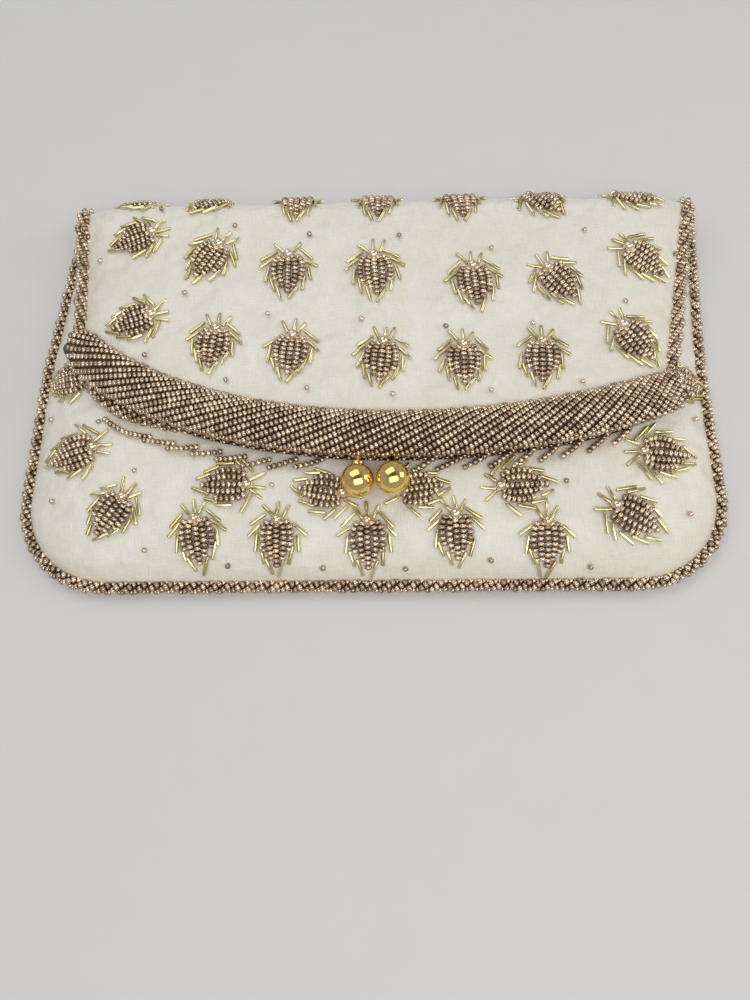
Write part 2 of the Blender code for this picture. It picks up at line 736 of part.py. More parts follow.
def make_sprigs(parts, finish):
    for surface, rows in ((flap_surface, SPRIGS_ON_FLAP), (front_surface, SPRIGS_ON_FRONT)):
        for row, spots in rows.items():
            for number, (x, y, heading, *size) in enumerate(spots, 1):
                share = SPRIG_SCALE * (size[0] if size else 1.0)
                place = on_plan((x, y))
                if row == "band":
                    place = below_picots(place)
                sprig_pad(f"sprig_{row}_{number}", surface, place.x, place.y, heading, share, finish, parts)
    for number, side in enumerate((-1, 1), 1):
        ball = ball_place(side)
        share = SPRIG_SCALE
        x = ball.x + side * (CLASP_SPRIG_OUT * BALL_RADIUS + share * SPRIG_LENGTH / 2)
        y = ball.y + BALL_RADIUS - CLASP_SPRIG_DOWN
        sprig_pad(f"sprig_clasp_{number}", front_surface, x, y, -side * CLASP_SPRIG_HEADING, share, finish, parts)


# ---------------------------------------------------------------- the bag
def make_bag():
    clear_scene()
    parts = bpy.data.collections.new("evening_bag")
    cutters = bpy.data.collections.new("cutters")
    bpy.context.scene.collection.children.link(parts)
    bpy.context.scene.collection.children.link(cutters)
    finishes = {
        "satin": material("ivory_satin", IVORY, 0.0, 0.5),
        "lining": material("champagne_lining", CHAMPAGNE, 0.0, 0.5),
        "canvas": material("canvas_interlining", CANVAS, 0.0, 0.9),
        "beads": material("bronze_beads", BRONZE, 0.9, 0.3),
        "gold": material("gilt_metal", GOLD, 1.0, 0.12),
        "frame": material("frame_steel", STEEL, 1.0, 0.35),
    }
    make_back(parts, finishes)
    make_front(parts, finishes)
    make_flap(parts, finishes)
    make_lip(parts, finishes)
    make_frame(parts, cutters, finishes)
    make_clasp(parts, cutters, finishes)
    make_edge_trim(parts, finishes["beads"])
    make_flap_trims(parts, finishes["beads"])
    make_picot_lines(parts, finishes["beads"])
    make_sprigs(parts, finishes["beads"])


make_bag()
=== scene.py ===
"""Looks of the beaded satin evening bag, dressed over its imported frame.

The satin, its linings and the beadwork are built on the same surfaces and paths as the frame, in
metres: +X to the bag's right, +Y towards the fold, +Z up out of the flap. Each sub-assembly is a
class that builds its pieces and gives them their finishes.
"""

import logging
import math
import random
from dataclasses import dataclass, field
from enum import Enum
from typing import Callable, Iterable, Optional, Sequence, Union

import bmesh
import bpy
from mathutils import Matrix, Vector, noise


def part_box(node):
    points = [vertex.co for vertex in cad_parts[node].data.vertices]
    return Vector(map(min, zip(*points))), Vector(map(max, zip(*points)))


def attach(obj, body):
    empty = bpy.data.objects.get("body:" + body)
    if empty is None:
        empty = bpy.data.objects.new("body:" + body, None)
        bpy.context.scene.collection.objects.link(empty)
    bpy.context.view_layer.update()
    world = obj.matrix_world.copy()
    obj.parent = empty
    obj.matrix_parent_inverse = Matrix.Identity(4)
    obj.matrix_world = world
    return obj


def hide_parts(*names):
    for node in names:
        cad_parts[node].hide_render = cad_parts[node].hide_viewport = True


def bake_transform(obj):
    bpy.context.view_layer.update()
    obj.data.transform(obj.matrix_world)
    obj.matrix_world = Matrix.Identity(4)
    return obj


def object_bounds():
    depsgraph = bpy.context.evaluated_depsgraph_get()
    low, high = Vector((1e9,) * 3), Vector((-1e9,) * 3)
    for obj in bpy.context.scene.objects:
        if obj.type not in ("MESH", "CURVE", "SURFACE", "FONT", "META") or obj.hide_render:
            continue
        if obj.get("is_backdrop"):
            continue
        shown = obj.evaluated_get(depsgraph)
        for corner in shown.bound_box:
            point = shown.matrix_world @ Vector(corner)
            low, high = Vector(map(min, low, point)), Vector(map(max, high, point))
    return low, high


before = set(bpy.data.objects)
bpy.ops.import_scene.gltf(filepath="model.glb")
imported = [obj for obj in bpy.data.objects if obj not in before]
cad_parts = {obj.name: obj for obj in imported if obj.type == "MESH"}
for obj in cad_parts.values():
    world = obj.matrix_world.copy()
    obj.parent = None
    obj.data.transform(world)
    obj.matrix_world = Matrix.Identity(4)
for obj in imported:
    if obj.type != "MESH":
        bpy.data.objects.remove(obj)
frame_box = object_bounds()

MM = 0.001
log = logging.getLogger("evening bag")
Place = Callable[[float, float, float], Vector]
Path = Callable[[float], tuple[Vector, Vector, Vector]]
Settle = Callable[[bpy.types.Object], None]
Socket = bpy.types.NodeSocket
Value = Union[Socket, float, tuple]


def mix(low: float, high: float, share: float) -> float:
    """Return the value a share of the way from low to high."""
    return low + (high - low) * share


def clamp(value: float, low: float = 0.0, high: float = 1.0) -> float:
    """Return the value, kept between low and high."""
    return min(max(value, low), high)


# ------------------------------------------------------------------ shape of the bag
@dataclass(frozen=True)
class BagShape:
    """Surfaces and paths that the frame was built on."""

    fabric_half_width: float = 112.2 * MM
    fabric_bottom: float = -69.7 * MM
    corner_radius: float = 28 * MM
    fold_y: float = 70.5 * MM
    ear_top: float = 64.5 * MM
    seam_height: float = 3.2 * MM
    front_crown: float = 13.0 * MM
    front_swell: float = 9.0 * MM
    flap_crown: float = 17.6 * MM
    flap_swell: float = 11.0 * MM
    flap_half_width: float = 108.7 * MM
    flap_flare: float = 1.4
    flap_past_hinge: float = 1.0 * MM
    flap_on_front: float = 1.1 * MM
    fold_floor: float = 0.5 * MM
    hinge_left: tuple[float, float] = (-97 * MM, 8 * MM)
    bow_left: tuple[float, float] = (-57 * MM, -34 * MM)
    bow_right: tuple[float, float] = (48 * MM, -32 * MM)
    hinge_right: tuple[float, float] = (97 * MM, -10.5 * MM)
    hinge_z: float = 15.4 * MM
    inner_arm_z: float = 11.6 * MM
    outer_arm_z: float = 18.4 * MM
    arm_end_power: float = 8
    inner_setback: float = 4.5 * MM
    mouth_gap: float = 3.1 * MM
    side_share: float = 0.3  # of the sewn edge, from each top end down to its corner
    corner_share: float = 0.1  # of the sewn edge, round each corner
    ear_share: float = 0.2  # of the front's inner edge, from each top end down to the arm
    ear_inset: float = 6.3 * MM
    shoulder_from: float = 34 * MM  # where the flap's sides begin to rise towards the fold
    shoulder_over: float = 26 * MM
    shoulder_drop: float = 3.0 * MM
    shoulder_share: float = 0.75
    back_at_seam: float = 2.3 * MM
    back_inside: float = 1.75 * MM
    back_seam_ease: float = 5 * MM
    back_dip: float = 1.15 * MM  # towards the fold
    back_dip_from: float = 48 * MM
    back_dip_over: float = 9 * MM
    askew: float = 4.75 * MM  # how far the worn cloth has gone towards +X at the fold
    askew_from: float = 5 * MM
    askew_over: float = 60 * MM

    def lean(self, y: float) -> float:
        """Return how far the worn bag's cloth has gone askew towards +X at y."""
        return self.askew * clamp((y - self.askew_from) / self.askew_over)

    def seam_inset(self, x: float, y: float) -> float:
        """Return how far a place lies inside the sewn sides and bottom.

        Args:
            x: place across the bag.
            y: place towards the fold.

        Returns:
            The distance, less than nothing outside the seam.
        """
        side = self.fabric_half_width - abs(x - self.lean(y))
        bottom = y - self.fabric_bottom
        radius = self.corner_radius
        if side < radius and bottom < radius:
            return radius - math.hypot(radius - side, radius - bottom)
        return min(side, bottom)

    def front_height(self, x: float, y: float) -> float:
        """Return the height of the front satin over the table."""
        rise = 1 - math.exp(-max(self.seam_inset(x, y), 0) / self.front_swell)
        return mix(self.seam_height, self.front_crown, rise)

    def front_place(self, x: float, y: float, lift: float = 0.0) -> Vector:
        """Return a place over the front satin."""
        return Vector((x, y, self.front_height(x, y) + lift))

    def back_place(self, x: float, y: float, lift: float = 0.0) -> Vector:
        """Return a place under the back satin, `lift` away from it."""
        seam = clamp(self.seam_inset(x, y) / self.back_seam_ease)
        fold = clamp((y - self.back_dip_from) / self.back_dip_over)
        height = mix(self.back_at_seam, self.back_inside, seam) - self.back_dip * fold
        return Vector((x, y, height - lift))

    def flap_half(self, y: float, side: int) -> float:
        """Return the half width of the flap at y on one side."""
        x, start = self.hinge_left if side < 0 else self.hinge_right
        share = clamp((y - start) / (self.fold_y - start))
        flare = 1 - (1 - share) ** self.flap_flare
        return mix(abs(x) + self.flap_past_hinge, self.flap_half_width, flare) + side * self.lean(y)

    def flap_height(self, x: float, y: float) -> float:
        """Return the height of the flap satin over the table.

        Args:
            x: place across the bag.
            y: place towards the fold.

        Returns:
            The height, which falls off towards the flap's sides.
        """
        side = -1 if x < 0 else 1
        start = (self.hinge_left if side < 0 else self.hinge_right)[1]
        edge = self.flap_half(y, side)
        low = self.front_height(side * edge, max(y, start)) + self.flap_on_front
        squared = clamp((y - self.shoulder_from) / self.shoulder_over) ** 2
        low = mix(low, self.flap_crown - self.shoulder_drop, self.shoulder_share * squared)
        return mix(low, self.flap_crown, 1 - math.exp(-max(edge - abs(x), 0) / self.flap_swell))

    def fold_turn(self, x: float) -> tuple[float, float]:
        """Return the radius of the fold at x and where along Y it starts."""
        radius = (self.flap_height(x, self.fold_y) - self.fold_floor) / 2
        return radius, self.fold_y - radius

    def flap_place(self, x: float, y: float, lift: float = 0.0) -> Vector:
        """Return a place over the flap satin; past the fold, y runs on round it.

        Args:
            x: place across the bag.
            y: place along the cloth.
            lift: distance from the satin, outwards.

        Returns:
            The place.
        """
        radius, turn_y = self.fold_turn(x)
        if y <= turn_y:
            return Vector((x, y, self.flap_height(x, y) + lift))
        angle = min((y - turn_y) / radius, math.pi)
        beyond = max(y - turn_y - math.pi * radius, 0)
        middle = self.flap_height(x, turn_y) - radius
        reach = radius + lift
        return Vector((x, turn_y - beyond + reach * math.sin(angle), middle + reach * math.cos(angle)))

    def bow(self, share: float) -> tuple[Vector, Vector]:
        """Return a place on the arms' bow in plan, and the way across it towards the fold.

        Args:
            share: of the bow, from its left end to its right end.

        Returns:
            The place and a way of length one.
        """
        ends = [Vector(p) for p in (self.hinge_left, self.bow_left, self.bow_right, self.hinge_right)]
        rest = 1 - share
        weights = (rest**3, 3 * rest**2 * share, 3 * rest * share**2, share**3)
        place = sum((end * weight for end, weight in zip(ends, weights)), Vector((0, 0)))
        steps = [b - a for a, b in zip(ends, ends[1:])]
        along = (steps[0] * rest**2 + steps[1] * (2 * rest * share) + steps[2] * share**2).normalized()
        return place, Vector((-along.y, along.x))

    def arm_place(self, share: float, across: float = 0.0, up: float = 0.0, inner: bool = False) -> Vector:
        """Return a place beside the outer or inner arm.

        Args:
            share: of the bow.
            across: distance towards the fold.
            up: distance upwards.
            inner: whether it is the inner arm.

        Returns:
            The place.
        """
        share = clamp(share)
        place, sideways = self.bow(share)
        spread = 1 - abs(2 * share - 1) ** self.arm_end_power
        place = place + sideways * (across - (self.inner_setback * spread if inner else 0))
        height = mix(self.hinge_z, self.inner_arm_z if inner else self.outer_arm_z, spread)
        return Vector((place.x, place.y, height + up))

    def share_at(self, x: float) -> float:
        """Return the share of the bow that lies at x."""
        low, high = 0.0, 1.0
        for _ in range(24):
            middle = (low + high) / 2
            low, high = (middle, high) if self.bow(middle)[0].x < x else (low, middle)
        return (low + high) / 2

    def seam_point(self, share: float, inset: float = 0.0) -> Vector:
        """Return a place in plan on the sewn edge, from the top left round to the top right.

        Args:
            share: of the way round.
            inset: distance inside the edge.

        Returns:
            The place in plan.
        """
        if share > 0.5:
            mirrored = self.seam_point(1 - share, inset)
            return Vector((2 * self.lean(mirrored.y) - mirrored.x, mirrored.y))
        half = self.fabric_half_width - inset
        bottom = self.fabric_bottom + inset
        radius = max(self.corner_radius - inset, MM)
        corner_end = self.side_share + self.corner_share
        if share <= self.side_share:
            y = mix(self.ear_top, bottom + radius, share / self.side_share)
            return Vector((self.lean(y) - half, y))
        if share < corner_end:
            angle = (share - self.side_share) / self.corner_share * math.pi / 2
            return Vector((-half + radius * (1 - math.cos(angle)), bottom + radius * (1 - math.sin(angle))))
        along = (share - corner_end) / (1 - 2 * corner_end)
        return Vector((mix(-half + radius, half - radius, along), bottom))

    def mouth_edge(self, share: float, gap: float) -> Vector:
        """Return a place in plan on the front panel's inner edge.

        Args:
            share: of the way from the left side's top round to the right side's.
            gap: distance from the inner arm.

        Returns:
            The place in plan.
        """
        side = -1 if share < 0.5 else 1
        near = min(share, 1 - share)
        if near >= self.ear_share:
            return self.arm_place((share - self.ear_share) / (1 - 2 * self.ear_share), -gap, inner=True).xy
        foot = self.arm_place(0 if side < 0 else 1, -gap, inner=True)
        ear = near / self.ear_share
        top_half = self.flap_half_width - self.ear_inset + (gap - self.mouth_gap)
        top_x = side * top_half + self.lean(self.ear_top)
        return Vector((mix(top_x, foot.x, ear), mix(self.ear_top, foot.y, ear)))


BAG = BagShape()


# ------------------------------------------------------------------ finishes
class Shader:
    """A material's node tree with short ways to add and join nodes."""

    def __init__(self, name: str) -> None:
        """Start a material.

        Args:
            name: the material's name.
        """
        self.material = bpy.data.materials.new(name)
        self.material.use_nodes = True
        self.tree = self.material.node_tree
        self.surface = self.tree.nodes["Principled BSDF"]

    def add(self, kind: str, settings: Optional[dict] = None, **inputs: Value) -> bpy.types.Node:
        """Add a node.

        Args:
            kind: the node's type name.
            settings: properties of the node.
            inputs: values or output sockets for its inputs, with _ for a space in a name.

        Returns:
            The node.
        """
        node = self.tree.nodes.new(kind)
        for key, value in (settings or {}).items():
            setattr(node, key, value)
        for key, value in inputs.items():
            self.join(node, key.replace("_", " "), value)
        return node

    def join(self, node: bpy.types.Node, key: str, value: Value) -> None:
        """Set one input of a node to a value or to another node's output."""
        socket = node.inputs[int(key[1:])] if key[:1] == "i" and key[1:].isdigit() else node.inputs[key]
        if isinstance(value, Socket):
            self.tree.links.new(value, socket)
        else:
            socket.default_value = value

    def blend(self, share: Value, low: Value, high: Value) -> Socket:
        """Return a colour between two colours, by a share socket.

        Args:
            share: of the second colour.
            low: the first colour.
            high: the second colour.

        Returns:
            The blended colour's socket.
        """
        node = self.add("ShaderNodeMix", {"data_type": "RGBA"})
        for socket, value in ((0, share), (6, low), (7, high)):
            if isinstance(value, Socket):
                self.tree.links.new(value, node.inputs[socket])
            else:
                node.inputs[socket].default_value = (*value, 1.0) if isinstance(value, tuple) else value
        return node.outputs[2]

    def span(
        self, value: Socket, low: float, high: float, to_low: float = 0.0, to_high: float = 1.0
    ) -> Socket:
        """Return a value mapped from one range to another."""
        ends = {"From_Min": low, "From_Max": high, "To_Min": to_low, "To_Max": to_high}
        return self.add("ShaderNodeMapRange", None, Value=value, **ends).outputs[0]

    def noise(self, where: Socket, scale: float, detail: float = 2.0, rough: float = 0.5) -> Socket:
        """Return the value of a noise pattern."""
        node = self.add("ShaderNodeTexNoise", None, Vector=where, Scale=scale, Detail=detail, Roughness=rough)
        return node.outputs[0]

    def stretched(self, where: Socket, *scale: float) -> Socket:
        """Return coordinates stretched along X, Y and Z."""
        return self.add("ShaderNodeMapping", None, Vector=where, Scale=scale).outputs[0]

    def combine(self, how: str, first: Value, second: Value) -> Socket:
        """Return two values joined by a sum or another operation."""
        return self.add("ShaderNodeMath", {"operation": how}, i0=first, i1=second).outputs[0]

    def bump(self, height: Socket, strength: float, distance: float) -> None:
        """Give the surface a bump from a height socket."""
        node = self.add("ShaderNodeBump", None, Height=height, Strength=strength, Distance=distance)
        self.tree.links.new(node.outputs[0], self.surface.inputs["Normal"])

    def set(self, **inputs: Value) -> None:
        """Set inputs of the surface."""
        for key, value in inputs.items():
            if isinstance(value, tuple):
                value = (*value, 1.0)
            self.join(self.surface, key.replace("_", " "), value)


@dataclass(frozen=True)
class Satin:
    """Woven satin with slubs, soft blotches and yellowed edges."""

    name: str = "ivory_satin"
    clean: tuple = (0.84, 0.81, 0.74)
    aged: tuple = (0.77, 0.69, 0.53)
    stain: tuple = (0.62, 0.47, 0.27)
    roughness: float = 0.46
    sheen: float = 0.22
    thread: float = 0.42 * MM
    relief: float = 0.5

    def make(self) -> bpy.types.Material:
        """Return the material."""
        s = Shader(self.name)
        flat = s.add("ShaderNodeUVMap", {"uv_map": "cloth"}).outputs[0]
        solid = s.add("ShaderNodeTexCoord").outputs["Object"]
        blotch = s.span(s.noise(solid, 85, 5, 0.6), 0.38, 0.72)
        cloud = s.span(s.noise(solid, 17, 3, 0.5), 0.35, 0.75)
        edge = s.add("ShaderNodeAttribute", {"attribute_name": "edge"}).outputs["Fac"]
        worn = s.combine("MULTIPLY", edge, s.span(s.noise(solid, 90, 3, 0.6), 0.3, 0.7, 0.35, 1.0))
        colour = s.blend(s.combine("MULTIPLY", blotch, 0.45), self.clean, self.aged)
        colour = s.blend(s.combine("MULTIPLY", cloud, 0.22), colour, self.aged)
        colour = s.blend(s.combine("MULTIPLY", worn, 0.95), colour, self.aged)
        spot = s.span(s.noise(solid, 31, 2, 0.4), 0.70, 0.80)
        colour = s.blend(s.combine("MULTIPLY", spot, 0.35), colour, self.stain)
        threads = 1 / self.thread
        warp = s.noise(s.stretched(flat, threads, 0.09 * threads, 1.0), 1.0, 2, 0.6)
        weft = s.noise(s.stretched(flat, 0.12 * threads, threads, 1.0), 1.0, 2, 0.6)
        weave = s.combine("ADD", warp, weft)
        crease = s.noise(solid, 260, 3, 0.55)
        tone = s.span(weave, 0.75, 1.3, 0.93, 1.05)
        multiply = {"data_type": "RGBA", "blend_type": "MULTIPLY"}
        colour = s.add("ShaderNodeMix", multiply, i0=1.0, i6=colour, i7=tone)
        roughness = s.span(weave, 0.7, 1.3, self.roughness - 0.07, self.roughness + 0.1)
        s.set(Base_Color=colour.outputs[2], Roughness=roughness)
        s.surface.inputs["Sheen Weight"].default_value = self.sheen
        s.surface.inputs["Sheen Roughness"].default_value = 0.4
        s.surface.inputs["Specular IOR Level"].default_value = 0.42
        s.bump(s.combine("ADD", weave, s.combine("MULTIPLY", crease, 6.0)), self.relief, 0.12 * MM)
        return s.material


@dataclass(frozen=True)
class Canvas:
    """Stiff plain-weave canvas for the hidden interlinings."""

    name: str = "canvas_interlining"
    colour: tuple = (0.60, 0.56, 0.47)
    threads: float = 420.0

    def make(self) -> bpy.types.Material:
        """Return the material."""
        s = Shader(self.name)
        flat = s.add("ShaderNodeUVMap", {"uv_map": "cloth"}).outputs[0]
        bands = {"Vector": flat, "Scale": self.threads, "Distortion": 0.6}
        across, along = (
            s.add("ShaderNodeTexWave", {"bands_direction": way}, **bands).outputs["Fac"] for way in "XY"
        )
        weave = s.combine("MULTIPLY", across, along)
        darker = tuple(c * 0.7 for c in self.colour)
        s.set(Base_Color=s.blend(weave, darker, self.colour), Roughness=s.span(weave, 0, 1, 0.8, 0.95))
        s.bump(weave, 0.5, 0.2 * MM)
        return s.material


@dataclass(frozen=True)
class BeadMetal:
    """Metal-coated bead glass whose tone differs from bead to bead."""

    name: str
    dark: tuple
    light: tuple
    roughness: float
    spread: float = 0.12
    pitted: float = 0.4

    def make(self) -> bpy.types.Material:
        """Return the material."""
        s = Shader(self.name)
        solid = s.add("ShaderNodeTexCoord").outputs["Object"]
        tone = s.add("ShaderNodeAttribute", {"attribute_name": "tone"}).outputs["Fac"]
        tarnish = s.noise(solid, 900, 3, 0.6)
        share = s.combine("ADD", tone, s.span(tarnish, 0.35, 0.7, -0.25, 0.25))
        s.set(
            Base_Color=s.blend(share, self.dark, self.light),
            Metallic=1.0,
            Roughness=s.span(share, 0, 1, self.roughness + self.spread, self.roughness),
        )
        s.bump(tarnish, self.pitted, 0.05 * MM)
        return s.material


@dataclass(frozen=True)
class Polish:
    """Polished or plain metal with fine handling marks."""

    name: str
    colour: tuple
    worn: tuple
    roughness: float
    marks: float

    def make(self) -> bpy.types.Material:
        """Return the material."""
        s = Shader(self.name)
        solid = s.add("ShaderNodeTexCoord").outputs["Object"]
        haze = s.span(s.noise(solid, 420, 4, 0.6), 0.4, 0.75)
        scratch = s.noise(s.stretched(solid, 2600.0, 260.0, 900.0), 1, 2)
        s.set(
            Base_Color=s.blend(s.combine("MULTIPLY", haze, 0.55), self.colour, self.worn),
            Metallic=1.0,
            Roughness=s.span(haze, 0, 1, self.roughness, self.roughness + self.marks),
        )
        s.bump(scratch, 0.06, 0.02 * MM)
        return s.material


@dataclass(frozen=True)
class Floor:
    """Plain pale card."""

    colour: tuple = (0.70, 0.69, 0.67)

    def make(self) -> bpy.types.Material:
        """Return the material."""
        s = Shader("pale_card")
        grain = s.noise(s.add("ShaderNodeTexCoord").outputs["Object"], 70, 4)
        s.set(Base_Color=s.blend(grain, tuple(c * 0.97 for c in self.colour), self.colour), Roughness=0.7)
        return s.material


class Finish(Enum):
    """The finishes on the bag."""

    SATIN = Satin()
    LINING = Satin("champagne_lining", (0.66, 0.56, 0.38), (0.55, 0.44, 0.27), (0.42, 0.32, 0.18), 0.4, 0.15)
    CANVAS = Canvas()
    # the core is a real padded cord, but its near-black colour is painted shade: it darkens the gaps between
    # the wound beads, where shade falls
    CORE = Satin("bead_backing", (0.10, 0.075, 0.045), (0.08, 0.06, 0.035), (0.06, 0.04, 0.02), 0.7, 0.0)
    SEED = BeadMetal("bronze_seed_bead", (0.42, 0.31, 0.21), (0.96, 0.80, 0.60), 0.17)
    BUGLE = BeadMetal("gilt_bugle", (0.66, 0.55, 0.25), (0.97, 0.88, 0.54), 0.15, 0.1, 0.2)
    HEAD = BeadMetal("rose_gilt_bead", (0.92, 0.68, 0.47), (1.0, 0.86, 0.66), 0.12, 0.06, 0.1)
    GILT = Polish("gilt_metal", (0.93, 0.68, 0.24), (0.80, 0.52, 0.16), 0.07, 0.12)
    STEEL = Polish("frame_steel", (0.36, 0.31, 0.24), (0.24, 0.20, 0.15), 0.42, 0.2)
    FLOOR = Floor()

    def material(self) -> bpy.types.Material:
        """Return the finish's material, made once."""
        made = bpy.data.materials.get(self.name.lower() + "_finish")
        if made is None:
            made = self.value.make()
            made.name = self.name.lower() + "_finish"
        return made


# ------------------------------------------------------------------ helpers on objects
def new_object(name: str, data: bpy.types.ID) -> bpy.types.Object:
    """Return a new object in the scene that shows data."""
    item = bpy.data.objects.new(name, data)
    bpy.context.scene.collection.objects.link(item)
    return item


def bake_modifiers(item: bpy.types.Object) -> None:
    """Turn an object's modifiers into its plain mesh.

    Args:
        item: the object, whose modifiers go.
    """
    graph = bpy.context.evaluated_depsgraph_get()
    shown = item.evaluated_get(graph)
    made = bpy.data.meshes.new_from_object(shown, preserve_all_data_layers=True, depsgraph=graph)
    item.modifiers.clear()
    item.data = made
    made.name = item.name


@dataclass(frozen=True)
class Lathe:
    """A closed shape of revolution about Z."""

    name: str
    profile: tuple
    sides: int

    def make(self) -> bpy.types.Mesh:
        """Return the mesh; a profile that ends on the axis is closed there."""
        shape = bmesh.new()
        rings = []
        for radius, height in self.profile:
            if radius == 0:
                rings.append([shape.verts.new((0, 0, height))])
                continue
            turns = [2 * math.pi * i / self.sides for i in range(self.sides)]
            spots = [(radius * math.cos(turn), radius * math.sin(turn), height) for turn in turns]
            rings.append([shape.verts.new(spot) for spot in spots])
        closed = len(rings[0]) > 1
        for k in range(len(rings) if closed else len(rings) - 1):
            low, high = rings[k], rings[(k + 1) % len(rings)]
            for i in range(self.sides):
                j = (i + 1) % self.sides
                corners = [low[i % len(low)], low[j % len(low)], high[j % len(high)], high[i % len(high)]]
                shape.faces.new(list(dict.fromkeys(corners)))
        bmesh.ops.recalc_face_normals(shape, faces=shape.faces)
        mesh = bpy.data.meshes.new(self.name)
        shape.to_mesh(mesh)
        shape.free()
        mesh.shade_smooth()
        return mesh


# ------------------------------------------------------------------ beadwork
class Bead(Enum):
    """How a single bead is sewn: its shape, and the number that marks its place."""

    SEED = 1
    BUGLE = 2
    HEAD = 3

    def socket(self, what: str) -> str:
        """Return the name of the tree's input for this bead's shape or finish."""
        return f"{self.name.title()} {what}"


LARGEST_BEAD = 1.03  # times the usual size


